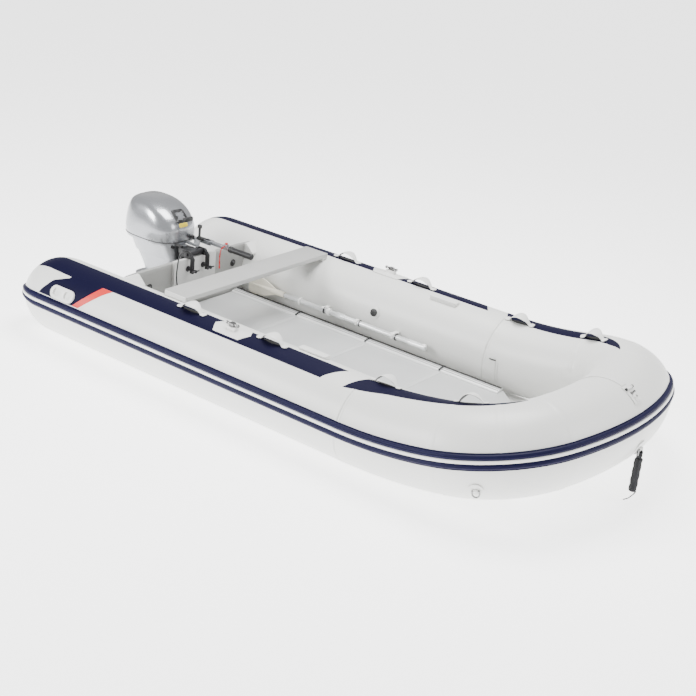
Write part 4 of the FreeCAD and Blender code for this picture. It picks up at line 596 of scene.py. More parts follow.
def moulded(node, material, bevel=0.0012, angle=35.0, flat=False):
    """A smooth, round-edged copy of a designed node, standing for it on the same body.

    The copy's loose triangles are welded; given a bevel, coplanar ones are joined too, and every edge sharper
    than the given angle gets a small round.
    """
    shape = bmesh.new()
    shape.from_mesh(frame["nodes"][node].data)
    bmesh.ops.remove_doubles(shape, verts=shape.verts, dist=1e-5)
    bmesh.ops.recalc_face_normals(shape, faces=shape.faces)
    if bevel:
        bmesh.ops.dissolve_limit(shape, angle_limit=math.radians(0.6), verts=shape.verts, edges=shape.edges)
        sharp = [edge for edge in shape.edges
                 if edge.is_manifold and edge.calc_face_angle(0) > math.radians(angle)]
        bmesh.ops.bevel(shape, geom=sharp, offset=bevel, segments=2, profile=0.6, affect="EDGES",
                        clamp_overlap=True)
    mesh = bpy.data.meshes.new(f"{node}_finished")
    shape.to_mesh(mesh)
    shape.free()
    mesh.materials.append(material)
    mesh.polygons.foreach_set("use_smooth", np.full(len(mesh.polygons), not flat))
    mesh.set_sharp_from_angle(angle=math.radians(angle))
    piece = bpy.data.objects.new(f"{node}_finished", mesh)
    bpy.context.scene.collection.objects.link(piece)
    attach(piece, node_body[node])
    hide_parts(node)
    return piece


def node_corners(node):
    """Every corner of a designed node's mesh, shape (corners, 3)."""
    vertices = frame["nodes"][node].data.vertices
    corners = np.empty(len(vertices) * 3)
    vertices.foreach_get("co", corners)
    return corners.reshape(-1, 3)


bottom_cloth = coated_fabric("bottom_cloth", (0.66, 0.66, 0.64), 0.42, use_uv=False)
moulded("hull_bottom", bottom_cloth, 0.0)
keel = moulded("inflatable_keel", bottom_cloth, 0.0)

# ---------------------------------------------------------------- aluminium floor
# Extruded boards that hook together under flat joiners, with a ribbed rail clipped over each side.


def metal(name, colour, roughness, streak=(4.0, 90.0, 90.0), metallic=1.0, bump=0.05, coat=0.0, specks=0.0):
    """Rolled, cast or painted metal: streaks along one axis in the roughness and bump, and slow mottling."""
    material = bpy.data.materials.new(name)
    material.use_nodes = True
    tree = material.node_tree
    shader = tree.nodes["Principled BSDF"]
    place = object_place(tree)
    stretch = tree.nodes.new("ShaderNodeVectorMath")
    stretch.operation = "MULTIPLY"
    stretch.inputs[1].default_value = streak
    connect(tree, place, stretch.inputs[0])
    fine_streak = noise(tree, stretch.outputs[0], 6.0, 3.0)
    slow_patch = noise(tree, place, 5.0, 4.0)
    darker = tuple(part * (0.90 - specks) for part in colour)
    lighter = tuple(min(1.0, part * 1.06) for part in colour)
    connect(tree, mixed(tree, slow_patch, darker, lighter), shader.inputs["Base Color"])
    rough = math_node(tree, "ADD", math_node(tree, "MULTIPLY", fine_streak, 0.16), roughness - 0.08)
    connect(tree, rough, shader.inputs["Roughness"])
    shader.inputs["Metallic"].default_value = metallic
    shader.inputs["Coat Weight"].default_value = coat
    shader.inputs["Coat Roughness"].default_value = 0.08
    relief = tree.nodes.new("ShaderNodeBump")
    relief.inputs["Strength"].default_value = bump
    relief.inputs["Distance"].default_value = 0.0003
    connect(tree, fine_streak, relief.inputs["Height"])
    connect(tree, relief.outputs["Normal"], shader.inputs["Normal"])
    return material


floor_metal = metal("floor_metal", (0.60, 0.61, 0.61), 0.42, streak=(2.0, 120.0, 120.0),
                    metallic=0.35, bump=0.12)
moulded("floor_panels", floor_metal, 0.0006)
moulded("bow_floor_panel", floor_metal, 0.0010)

rail_low, rail_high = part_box("floor_rails")
boards_low, boards_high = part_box("floor_panels")
FLOOR_LEVEL, RAIL_OUTER = boards_high.z, rail_high.y
RAIL_SECTION = np.array([
    (0.0, -0.018), (0.0, 0.014), (0.001, 0.016), (0.010, 0.017), (0.012, 0.016), (0.0125, 0.013),
    (0.0165, 0.013), (0.017, 0.016), (0.019, 0.017), (0.027, 0.0165), (0.029, 0.015), (0.0295, 0.0125),
    (0.0325, 0.0125),
    (0.033, 0.014), (0.035, 0.0155), (0.044, 0.014), (0.046, 0.0125), (0.0465, 0.010), (0.0495, 0.010),
    (0.050, 0.011), (0.052, 0.012), (0.060, 0.009), (0.064, 0.005), (0.066, 0.003), (0.066, 0.0006),
    (0.0042, 0.0006), (0.0042, -0.018)])


def lengthwise(name, section, first, last, material, side, sharp=30):
    """A section given as (inward from the rail's outer edge, above the boards), carried along the boat."""
    places = np.linspace(first, last, 40)
    y = side * (RAIL_OUTER - section[:, 0])
    ring = np.stack([np.zeros(len(y)), y, FLOOR_LEVEL + section[:, 1]], -1)
    grid = ring[None] + places[:, None, None] * np.array([1.0, 0, 0])
    return ring_piece(name, grid, material, sharp=sharp)


rail_metal = metal("rail_metal", (0.70, 0.71, 0.70), 0.36, streak=(1.0, 60.0, 60.0), metallic=0.25, bump=0.02)
black_rubber = moulded_rubber("black_rubber", (0.012, 0.012, 0.013), 0.42)
joiner_metal = metal("joiner_metal", (0.66, 0.67, 0.67), 0.38, streak=(90.0, 3.0, 90.0),
                     metallic=0.4, bump=0.08)
grey_plastic = moulded_rubber("grey_plastic", (0.36, 0.36, 0.365), 0.36)
# Painted shade: the black strip over the rail's slot and the two grey strips in its grooves stand for the
# shade in them.
STRIPS = (
    ("rail_slot_shade", ((0.0070, 0.0140), (0.0075, 0.0215), (0.0205, 0.0215), (0.0210, 0.0140)), black_rubber,
     "black_rubber"),
    ("rail_groove_shade", ((0.0280, 0.0120), (0.0285, 0.0180), (0.0325, 0.0178), (0.0330, 0.0120)), grey_plastic,
     "grey_plastic"),
    ("rail_edge_groove_shade", ((0.0460, 0.0090), (0.0465, 0.0150), (0.0500, 0.0148), (0.0505, 0.0090)), grey_plastic,
     "grey_plastic"))
BOARD_STEP, HALF_GAP, CLIP_HALF, STRIP_SHORT = 0.564, 0.002, 0.007, 0.004
CLIP_SECTION = RAIL_SECTION[2:24] + np.array([0.0, 0.0050])
CLIP_SECTION = np.concatenate([CLIP_SECTION, CLIP_SECTION[::-1] - np.array([0.0, 0.0012])])
for side, side_name in ((-1, "starboard"), (1, "port")):
    extrusion = lengthwise(f"{side_name}_floor_rail", RAIL_SECTION, rail_low.x, rail_high.x, rail_metal, side)
    rail_pieces = [(extrusion, "floor_metal")]
    for strip_name, section, material, slot_name in STRIPS:
        strip = lengthwise(f"{side_name}_{strip_name}", np.array(section), rail_low.x + STRIP_SHORT,
                           rail_high.x - STRIP_SHORT, material, side)
        rail_pieces.append((strip, slot_name))
    for number in (1, 2, 3):
        joint = boards_low.x + BOARD_STEP * number - HALF_GAP
        clip = lengthwise(f"{side_name}_rail_clip_{number}", CLIP_SECTION, joint - CLIP_HALF,
                          joint + CLIP_HALF, black_rubber, side)
        rail_pieces.append((clip, "black_rubber"))
    for piece, slot_name in rail_pieces:
        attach(piece, "hull")
        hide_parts("floor_rails")

JOINER_HALF_WIDTH = RAIL_OUTER - 0.070
JOINER_SECTION = np.array([(-0.017, 0.0003), (-0.0165, 0.0016), (-0.014, 0.0025),
                           (0.014, 0.0025), (0.0165, 0.0016), (0.017, 0.0003)])
for number in (1, 2, 3):
    joint = boards_low.x + BOARD_STEP * number - HALF_GAP
    reach = np.linspace(-JOINER_HALF_WIDTH, JOINER_HALF_WIDTH, 30)
    ring = np.stack([joint + JOINER_SECTION[:, 0], np.zeros(6), FLOOR_LEVEL + JOINER_SECTION[:, 1]], -1)
    grid = ring[None] + reach[:, None, None] * np.array([0, 1.0, 0])
    joiner = ring_piece(f"board_joiner_{number}", grid, joiner_metal, sharp=30)
    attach(joiner, "hull")
    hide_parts("floor_rails")

# ---------------------------------------------------------------- transom, motor pads and drain plugs
# A painted board glued into moulded holders on the tubes, with clamp pads inside and out.
transom_paint = metal("transom_paint", (0.30, 0.30, 0.29), 0.40, streak=(9.0, 9.0, 9.0),
                      metallic=0.0, bump=0.04)
pad_plastic = moulded_rubber("clamp_pad_plastic", (0.52, 0.52, 0.51), 0.45)
pale_rubber = moulded_rubber("pale_rubber", (0.74, 0.74, 0.72), 0.34)
black_plastic = moulded_rubber("black_plastic", (0.014, 0.014, 0.015), 0.34)
moulded("transom", transom_paint, 0.0030)
moulded("motor_pads", pad_plastic, 0.0025)
moulded("transom_holders", pale_rubber, 0.0020)
moulded("drain_plugs", black_plastic, 0.0010)

# ---------------------------------------------------------------- seat and its holders
# A folded aluminium bench, its flanges slipped over a rubber block glued to each tube.
seat_paint = metal("seat_paint", (0.44, 0.44, 0.43), 0.38, streak=(60.0, 2.0, 60.0), metallic=0.15, bump=0.06)
moulded("seat", seat_paint, 0.0030)
moulded("seat_holders", pale_rubber, 0.0020)

# ---------------------------------------------------------------- grab handles
# Moulded straps: a pad glued down at each end, a pinched neck, and a wide leaf-shaped middle.
HANDLE_PLACES = ((0.690, 87.0), (1.290, 89.0), (2.045, 99.0), (2.605, 102.0))
handle_along = np.concatenate([np.linspace(-0.1075, -0.070, 12), np.linspace(-0.066, 0.066, 41),
                               np.linspace(0.070, 0.1075, 12)])
handle_half = np.interp(np.abs(handle_along), [0, 0.02, 0.04, 0.060, 0.072, 0.085, 0.100, 0.1055, 0.1075],
                        [0.0300, 0.0290, 0.0240, 0.0140, 0.0120, 0.0200, 0.0185, 0.0130, 0.0055])
handle_lift = 0.0070 + 0.0460 * np.clip(np.cos(handle_along / 0.072 * math.pi / 2), 0, 1) ** 0.8
handle_thick = np.interp(np.abs(handle_along), [0, 0.055, 0.075, 0.1075], [0.0022, 0.0024, 0.0032, 0.0026])

# Painted shade: a thin black sheet just under each strap's arch, and a black patch on the tube beneath it,
# stand for the shade in the opening.
shade_sheet_along = np.linspace(-0.062, 0.062, 41)
shade_sheet_half = np.interp(shade_sheet_along, handle_along, handle_half) * 0.86
shade_sheet_lift = np.interp(shade_sheet_along, handle_along, handle_lift) - 0.0034
shade_sheet_thick = np.full(41, 0.0010)
base_shade_half = 0.004 + 0.009 * np.clip(np.cos(shade_sheet_along / 0.062 * math.pi / 2), 0, 1)
base_shade_lift = np.full(41, 0.0030)


def on_side(points, side):
    return points if side == "starboard" else to_port(points)


def strap_grid(place, degrees, along, half, lift, thick, side):
    """Rings round a strap: a flat ellipse at each station, square to the line that the strap follows."""
    slope = np.arctan2(np.gradient(lift), np.gradient(along))
    turn = full_turn(24)
    flat_cos = np.sign(np.cos(turn)) * np.abs(np.cos(turn)) ** 0.6
    flat_sin = np.sign(np.sin(turn)) * np.abs(np.sin(turn)) ** 0.6
    over = thick[:, None] * flat_sin[None, :]
    distance = place + along[:, None] - over * np.sin(slope)[:, None]
    raised = lift[:, None] + over * np.cos(slope)[:, None]
    angle = degrees + np.degrees(half[:, None] * flat_cos[None, :] / TUBE_RADIUS)
    return on_side(skin(distance, angle, raised), side)


for side in ("starboard", "port"):
    for number, (place, degrees) in enumerate(HANDLE_PLACES, start=1):
        grid = strap_grid(place, degrees, handle_along, handle_half, handle_lift, handle_thick, side)
        handle = ring_piece(f"{side}_grab_handle_{number}", grid, pale_rubber, sharp=60)
        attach(handle, "hull")
        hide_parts("grab_handles")
        # Black sheets under the strap and on the tube below its arch: painted shade.
        under_strap_shade = strap_grid(place, degrees, shade_sheet_along, shade_sheet_half, shade_sheet_lift, shade_sheet_thick, side)
        shadow = ring_piece(f"{side}_handle_painted_shade_{number}", under_strap_shade, black_rubber, sharp=60)
        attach(shadow, "hull")
        base_shade_grid = strap_grid(place, degrees, shade_sheet_along, base_shade_half, base_shade_lift, shade_sheet_thick, side)
        base = ring_piece(f"{side}_handle_base_{number}", base_shade_grid, black_rubber, sharp=60)
        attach(base, "hull")

# ---------------------------------------------------------------- carry handles, rowlocks, valves and rings
# Bought fittings glued to the tubes: moulded pads, sockets, valves and steel D rings.
steel = metal("bright_steel", (0.22, 0.22, 0.22), 0.22, streak=(40.0, 40.0, 40.0), bump=0.03)
moulded("carry_handles", pale_rubber, 0.0015)
moulded("rowlock_bases", pale_rubber, 0.0012)
for side in ("starboard", "port"):
    moulded(f"{side}_rowlock", steel, 0.0012)
    moulded(f"{side}_valve_cap", black_plastic, 0.0006)
    moulded(f"{side}_bow_ring", steel, 0.0)
moulded("valve_bodies", pale_rubber, 0.0008)
moulded("ring_patches", pale_rubber, 0.0010)
moulded("tow_ring", steel, 0.0)
webbing = coated_fabric("pale_webbing", (0.72, 0.72, 0.70), 0.55, threads=900.0, bump=0.3, use_uv=False)
moulded("bow_strap", webbing, 0.0006)
moulded("bow_fitting", pale_rubber, 0.0012)

# ---------------------------------------------------------------- oars
# Aluminium tubes with moulded blades, held by a clip at each end of the shaft.
oar_metal = metal("oar_metal", (0.74, 0.75, 0.75), 0.30, streak=(3.0, 80.0, 80.0), metallic=0.55, bump=0.05)
cream_plastic = moulded_rubber("cream_plastic", (0.70, 0.665, 0.56), 0.40, fleck=0.10)
for side in ("starboard", "port"):
    moulded(f"{side}_oar_shaft", oar_metal, 0.0010)
    moulded(f"{side}_oar_blade", cream_plastic, 0.0012, angle=50)
moulded("oar_clips", pale_rubber, 0.0010)


def oar_point(share):
    """A place on the port shaft's centre line, from the blade end to the grip."""
    corners = node_corners("port_oar_shaft")
    in_order = np.argsort(corners[:, 0])
    ends = [corners[in_order[few]].mean(axis=0) for few in (slice(0, 24), slice(-24, None))]
    return ends[0] + (ends[1] - ends[0]) * share


# Place along the shaft, radius, share of the shaft that the collar takes, and finish.
# The three thin black collars, each beside a pale one, are painted shade that the clips cast on the shaft.
COLLARS = (
    (0.12, 0.0230, 0.012, pale_rubber, "pale_rubber"),
    (0.30, 0.0225, 0.006, black_rubber, "black_rubber"),
    (0.33, 0.0235, 0.022, pale_rubber, "pale_rubber"),
    (0.53, 0.0210, 0.020, pale_rubber, "pale_rubber"),
    (0.55, 0.0213, 0.003, black_rubber, "black_rubber"),
    (0.78, 0.0235, 0.020, pale_rubber, "pale_rubber"),
    (0.80, 0.0240, 0.005, black_rubber, "black_rubber"),
    (0.985, 0.0205, 0.022, pale_rubber, "pale_rubber"))
for number, (share, radius, long, material, slot_name) in enumerate(COLLARS, start=1):
    start, end = oar_point(share - long / 2.4), oar_point(share + long / 2.4)
    way = (end - start) / np.linalg.norm(end - start)
    first = np.cross(way, [0.0, 0.0, 1.0])
    first /= np.linalg.norm(first)
    turn = full_turn(28)
    around = radius * (first * np.cos(turn)[:, None] + np.cross(way, first) * np.sin(turn)[:, None])
    grid = np.array([start + around * 0.7, start + around * 0.95, start + way * 0.0015 + around,
                     end - way * 0.0015 + around, end + around * 0.95, end + around * 0.7])
    for side, side_name in ((-1, "starboard"), (1, "port")):
        collar = ring_piece(f"{side_name}_oar_collar_{number}", (grid * np.array([1.0, side, 1.0]))[::side],
                            material, sharp=40)
        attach(collar, node_body[f"{side_name}_oar_shaft"])

# ---------------------------------------------------------------- outboard motor
# Silver plastic cowl over a painted alloy leg, hung on a black clamp bracket with two T-handled screws.
silver_gloss = metal("cowl_silver", (0.34, 0.35, 0.37), 0.25, streak=(1.2, 1.2, 1.2),
                     metallic=0.85, bump=0.0, coat=0.7)
silver_paint = metal("leg_silver", (0.36, 0.37, 0.39), 0.30, streak=(1.5, 1.5, 1.5),
                     metallic=0.8, bump=0.0, coat=0.3)
black_paint = metal("black_paint", (0.018, 0.018, 0.020), 0.36, streak=(12.0, 12.0, 12.0),
                    metallic=0.2, bump=0.05)
alloy = metal("cast_alloy", (0.30, 0.31, 0.32), 0.45, streak=(30.0, 30.0, 30.0), metallic=0.9, bump=0.3)
moulded("clamp_bracket", black_paint, 0.0020)
for side in ("starboard", "port"):
    moulded(f"{side}_clamp_screw", black_paint, 0.0010)
moulded("swivel_bracket", black_paint, 0.0020)
moulded("steering_shaft", silver_paint, 0.0015)
moulded("drive_leg", silver_paint, 0.0)
moulded("gearcase", silver_paint, 0.0015)
moulded("propeller", black_paint, 0.0010)
moulded("engine_block", alloy, 0.0020)
moulded("lower_cowl", silver_paint, 0.0010, angle=45)
moulded("upper_cowl", silver_gloss, 0.0)
moulded("cowl_seal", black_rubber, 0.0)
moulded("cowl_latch", black_plastic, 0.0015)
moulded("recoil_handle", black_plastic, 0.0010)
moulded("shift_lever", black_plastic, 0.0015)
moulded("tiller_arm", silver_paint, 0.0015)
moulded("throttle_grip", black_rubber, 0.0008)
red_plastic = moulded_rubber("red_plastic", (0.52, 0.012, 0.014), 0.30)
moulded("stop_button", red_plastic, 0.0010)

cowl_low, cowl_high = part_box("upper_cowl")
pull_low, pull_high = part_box("recoil_handle")


def cowl_front(y, z):
    """How far forward the cowl's front comes at a place across and a height: read off the designed mesh."""
    corners = node_corners("upper_cowl")
    corners = corners[corners[:, 0] > (cowl_low.x + cowl_high.x) / 2]
    gap = (corners[:, 1] - y) ** 2 * 0.3 + (corners[:, 2] - z) ** 2
    near = np.argsort(gap)[:12]
    return float(corners[near, 0].max())


def front_plate(name, y_low, y_high, z_low, z_high, proud, material, body):
    """A rounded plate on the cowl's front face, standing a little proud of it."""
    wide, tall = (y_high - y_low) / 2, (z_high - z_low) / 2
    turn = full_turn(48)
    y = (y_low + y_high) / 2 + wide * np.sign(np.cos(turn)) * np.abs(np.cos(turn)) ** 0.35
    z = (z_low + z_high) / 2 + tall * np.sign(np.sin(turn)) * np.abs(np.sin(turn)) ** 0.35
    face = np.array([cowl_front(*spot) for spot in zip(y, z)])
    middle = np.array([face.mean(), (y_low + y_high) / 2, (z_low + z_high) / 2])
    outer = np.stack([face, y, z], -1)
    rings = []
    for out, scale in ((-0.004, 1.0), (proud - 0.001, 1.0), (proud, 0.96), (proud, 0.5), (proud, 0.1)):
        ring = middle + (outer - middle) * np.array([1.0, scale, scale])
        ring[:, 0] = outer[:, 0] * scale + middle[0] * (1 - scale) + out
        rings.append(ring)
    plate = ring_piece(name, np.array(rings), material, sharp=35)
    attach(plate, body)
    return plate


yellow_label = moulded_rubber("yellow_label", (0.72, 0.55, 0.02), 0.35)
front_plate("starter_recess", -0.052, 0.052, pull_low.z - 0.016, pull_high.z + 0.024, 0.0015,
            black_plastic, "cowl")
front_plate("caution_label", -0.036, 0.036, pull_low.z - 0.046, pull_low.z - 0.022, 0.0012,
            yellow_label, "cowl")

seam_low, seam_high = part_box("cowl_seal")


def oblong(half_length, half_width, count=96, power=3.0):
    """Points round a rounded oblong: a superellipse seen from above."""
    turn = full_turn(count)
    return np.stack([half_length * np.sign(np.cos(turn)) * np.abs(np.cos(turn)) ** (2 / power),
                     half_width * np.sign(np.sin(turn)) * np.abs(np.sin(turn)) ** (2 / power)], -1)


seam_middle = np.array([(seam_low.x + seam_high.x) / 2, 0.0])
seam_half = ((seam_high.x - seam_low.x) / 2 + 0.002, (seam_high.y - seam_low.y) / 2 + 0.002)
bead_turn = full_turn(10)
bead = np.array([np.column_stack([
    seam_middle + oblong(seam_half[0] + 0.0028 * math.cos(a), seam_half[1] + 0.0028 * math.cos(a)),
    np.full(96, (seam_low.z + seam_high.z) / 2 + 0.0028 * math.sin(a))]) for a in bead_turn])
seam_bead = ring_piece("cowl_seam_bead", bead, black_rubber, closed=True)
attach(seam_bead, "motor")


def ribbed_boot(name, start, end, radius, ribs, material, body):
    """A bellows: a round tube from start to end whose radius rises and falls along it."""
    start, end = np.array(start, float), np.array(end, float)
    way = (end - start) / np.linalg.norm(end - start)
    first = np.cross(way, [0.0, 0.0, 1.0] if abs(way[2]) < 0.9 else [1.0, 0.0, 0.0])
    first /= np.linalg.norm(first)
    second = np.cross(way, first)
    share = np.linspace(0, 1, ribs * 8 + 1)
    swell = radius * (0.82 + 0.18 * np.cos(share * ribs * 2 * math.pi))
    swell[0] = swell[-1] = radius * 0.55
    turn = full_turn(20)
    around = first * np.cos(turn)[:, None] + second * np.sin(turn)[:, None]
    grid = start + (end - start) * share[:, None, None] + around[None] * swell[:, None, None]
    boot = ring_piece(name, grid, material, sharp=60)
    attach(boot, body)
    return boot


# Rubber boots of the shift and throttle linkages, and the choke knob, under the cowl's front edge.
front_x = cowl_high.x
for name, start, end, radius, ribs in (
        ("shift_boot", (front_x + 0.004, -0.115, 0.520), (front_x + 0.022, -0.112, 0.516), 0.0110, 3),
        ("throttle_boot", (front_x + 0.004, -0.070, 0.526), (front_x + 0.050, -0.066, 0.520), 0.0100, 4),
        ("tiller_boot", (front_x + 0.005, 0.125, 0.528), (front_x + 0.075, 0.125, 0.530), 0.0190, 6)):
    ribbed_boot(name, start, end, radius, ribs, black_rubber, "motor")
ribbed_boot("choke_knob", (front_x - 0.006, 0.060, 0.556), (front_x + 0.026, 0.060, 0.556), 0.0130, 2,
            black_plastic, "cowl")

# ---------------------------------------------------------------- small fittings, cockpit and bow
# A dark cleat roller on the bow pad, and a stowage hook with its hanging strap inside the port tube.


def bow_roller(name, degrees, reach, radius, lift, material):
    """A short roller across the bow tube's top, with a flange at each end."""
    share = np.array([-1, -0.97, -0.86, -0.84, 0.84, 0.86, 0.97, 1.0])
    swell = np.array([0.8, 1.25, 1.25, 0.8, 0.8, 1.25, 1.25, 0.8]) * radius
    centre, _, out, above = (value[0] for value in centre_frames(np.array([BOW_END])))
    angle = math.radians(degrees)
    outward = out * math.cos(angle) + above * math.sin(angle)
    tangent = above * math.cos(angle) - out * math.sin(angle)
    spot = centre + outward * (TUBE_RADIUS + lift)
    turn = full_turn(24)
    around = outward * np.cos(turn)[:, None] + tangent * np.sin(turn)[:, None]
    grid = (spot + np.array([0.0, 1.0, 0.0]) * (share * reach)[:, None, None]
            + around[None] * swell[:, None, None])
    roller = ring_piece(name, grid, material, sharp=40)
    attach(roller, "hull")


bow_roller("bow_cleat_roller", 51.0, 0.036, 0.0068, 0.0108, black_plastic)
bow_roller("bow_cleat_pin", 44.5, 0.020, 0.0050, 0.0100, steel)

strap_along = np.linspace(-0.070, 0.070, 40)
for number, shift in enumerate((0.0, 0.016)):
    turn = full_turn(16)
    place = 2.020 + shift
    angle = 188 - np.degrees(strap_along / TUBE_RADIUS)
    ring_angle = angle[:, None] + 0 * turn
    grid = to_port(skin(place + 0.0045 * np.cos(turn)[None, :] + 0 * ring_angle, ring_angle,
                        0.0022 + 0.0012 * np.sin(turn)[None, :] + 0 * ring_angle))
    stow_strap = ring_piece(f"stowage_strap_{number + 1}", grid, webbing, sharp=60)
    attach(stow_strap, "hull")
hook_along = np.linspace(-0.022, 0.022, 21)
turn = full_turn(16)
HOOK_PLACE, HOOK_ANGLE, HOOK_THICK, HOOK_RISE = 2.000, 170, 0.0040, 0.008
hook_angle = (HOOK_ANGLE + np.degrees(HOOK_THICK * np.cos(turn) / TUBE_RADIUS)[None, :]
              + 0 * hook_along[:, None])
hook_lift = (0.004 + HOOK_RISE * np.cos(hook_along / 0.022 * math.pi / 2)[:, None]
             + 0.003 * np.sin(turn)[None, :])
hook = to_port(skin(HOOK_PLACE + hook_along[:, None] + 0 * turn, hook_angle, hook_lift))
stow_hook = ring_piece("stowage_hook", hook, black_plastic, sharp=60)
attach(stow_hook, "hull")

# ---------------------------------------------------------------- painter
# A thin braided line: made off on the towing ring, folded, and wound tightly round itself, with a short tail.
tow_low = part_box("tow_ring")[0]
hank_low, hank_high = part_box("painter_hank")
ROPE = 0.0060


def braided(name, colour, roughness, turns=900.0):
    """Braided line: crossed diagonal ridges in the bump, and the colour darker in the grooves between them.
    """
    material = bpy.data.materials.new(name)
    material.use_nodes = True
    tree = material.node_tree
    shader = tree.nodes["Principled BSDF"]
    place = object_place(tree)
    pieces = tree.nodes.new("ShaderNodeSeparateXYZ")
    connect(tree, place, pieces.inputs[0])
    sums = [math_node(tree, kind, pieces.outputs[0], pieces.outputs[2]) for kind in ("ADD", "SUBTRACT")]
    ridges = [math_node(tree, "ABSOLUTE", math_node(tree, "SINE", math_node(tree, "MULTIPLY", total, turns)))
              for total in sums]
    woven_line = math_node(tree, "MULTIPLY", *ridges)
    darker = tuple(part * 0.6 for part in colour)
    connect(tree, mixed(tree, woven_line, darker, colour), shader.inputs["Base Color"])
    shader.inputs["Roughness"].default_value = roughness
    relief = tree.nodes.new("ShaderNodeBump")
    relief.inputs["Strength"].default_value = 0.5
    relief.inputs["Distance"].default_value = 0.0006
    connect(tree, woven_line, relief.inputs["Height"])
    connect(tree, relief.outputs["Normal"], shader.inputs["Normal"])
    return material


def cord_piece(name, points, diameter, material):
    """An open NURBS cord through control points, with a round section."""
    curve = bpy.data.curves.new(name, "CURVE")
    curve.dimensions = "3D"
    spline = curve.splines.new("NURBS")
    spline.points.add(len(points) - 1)
    spline.points.foreach_set("co", np.concatenate([points, np.ones((len(points), 1))], axis=1).reshape(-1))
    spline.order_u = 3
    spline.use_endpoint_u = True
    curve.resolution_u = 3
    curve.bevel_depth = diameter / 2
    curve.bevel_resolution = 3
    curve.use_fill_caps = True
    curve.materials.append(material)
    piece = bpy.data.objects.new(name, curve)
    bpy.context.scene.collection.objects.link(piece)
    return piece


def curve_line(piece):
    """The points along a cord's own line, read back from its evaluated curve without its thickness."""
    thin = piece.data.copy()
    thin.bevel_depth = 0.0
    holder = bpy.data.objects.new("line_reader", thin)
    mesh = bpy.data.meshes.new_from_object(holder)
    points = np.empty(len(mesh.vertices) * 3)
    mesh.vertices.foreach_get("co", points)
    bpy.data.objects.remove(holder)
    bpy.data.meshes.remove(mesh)
    bpy.data.curves.remove(thin)
    return points.reshape(-1, 3)


def line_length(points):
    return float(np.linalg.norm(np.diff(points, axis=0), axis=1).sum())


black_line = braided("painter_line", (0.016, 0.016, 0.020), 0.62)
hank_x, hank_top, hank_foot = (hank_low.x + hank_high.x) / 2, hank_high.z, hank_low.z
WIND_RADIUS = (hank_high.x - hank_low.x) / 2 - ROPE / 2
WIND_TURNS = int((hank_top - hank_foot - 0.016) / (ROPE * 1.10))
wind_steps = np.arange(WIND_TURNS * 14 + 1)
wind_turn = wind_steps * 2 * math.pi / 14
wind_ease = np.clip(wind_steps / 14, 0, 1)
wind_height = hank_top - 0.006 - wind_steps / 14 * ROPE * 1.10
sway = 0.0012 * np.sin(wind_turn * 0.137 + 0.6)
winding = np.stack([hank_x + WIND_RADIUS * np.cos(wind_turn) * (0.55 + 0.45 * wind_ease) + sway,
                    WIND_RADIUS * np.sin(wind_turn) * (0.55 + 0.45 * wind_ease), wind_height], -1)
painter_exit = np.array([hank_x, 0.0, tow_low.z - ROPE / 2])
tail_turn = np.stack([
    [hank_x + WIND_RADIUS, 0.006, wind_height[-1] - 0.006], [hank_x + 0.006, 0.002, hank_foot - 0.012],
    [hank_x - 0.001, 0.0, hank_foot - 0.022], [hank_x - 0.014, -0.006, hank_foot - 0.040],
    [hank_x - 0.036, -0.010, hank_foot - 0.052]])
painter_points = np.concatenate([[painter_exit], winding[4:], tail_turn])
painter = cord_piece("painter_line", painter_points, ROPE, black_line)
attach(painter, "tow_ring")
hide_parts("painter_hank", "painter_tail")

core_turn = full_turn(48)
core_radius = (WIND_RADIUS - ROPE / 2) * (0.86 + 0.10 * np.abs(np.cos(core_turn * 3)))
core_share = np.linspace(0, 1, 24)
core_scale = np.interp(core_share, [0, 0.04, 0.96, 1], [0.55, 1, 1, 0.6])
core = np.stack([hank_x + core_scale[:, None] * core_radius * np.cos(core_turn),
                 core_scale[:, None] * core_radius * np.sin(core_turn),
                 (hank_top - 0.008 - core_share * (hank_top - hank_foot - 0.018))[:, None]
                 + 0 * core_turn], -1)
painter_core = ring_piece("painter_folds", core, black_line)
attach(painter_core, "tow_ring")
knot_steps = np.arange(5 * 14 + 1)
knot_turn = knot_steps * 2 * math.pi / 14
knot_line = np.stack([hank_x + 0.0135 * np.cos(knot_turn), 0.0125 * np.sin(knot_turn),
                      tow_low.z + 0.030 - knot_steps / 14 * 0.0066], -1)
knot = cord_piece("painter_knot_turns", knot_line, ROPE, black_line)
knot_line_points = curve_line(knot)
bpy.data.objects.remove(knot)
knot_ahead = np.gradient(knot_line_points, axis=0)
knot_ahead /= np.linalg.norm(knot_ahead, axis=1, keepdims=True)
knot_out = np.cross(knot_ahead, [0.0, 0.0, 1.0])
knot_out /= np.linalg.norm(knot_out, axis=1, keepdims=True)
knot_up = np.cross(knot_out, knot_ahead)
turn = full_turn(10)
knot_grid = (knot_line_points[:, None] + ROPE / 2 * (knot_out[:, None] * np.cos(turn)[None, :, None]
                                                      + knot_up[:, None] * np.sin(turn)[None, :, None]))
painter_knot = ring_piece("painter_knot", knot_grid, black_line)
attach(painter_knot, "tow_ring")
line_length(curve_line(painter))

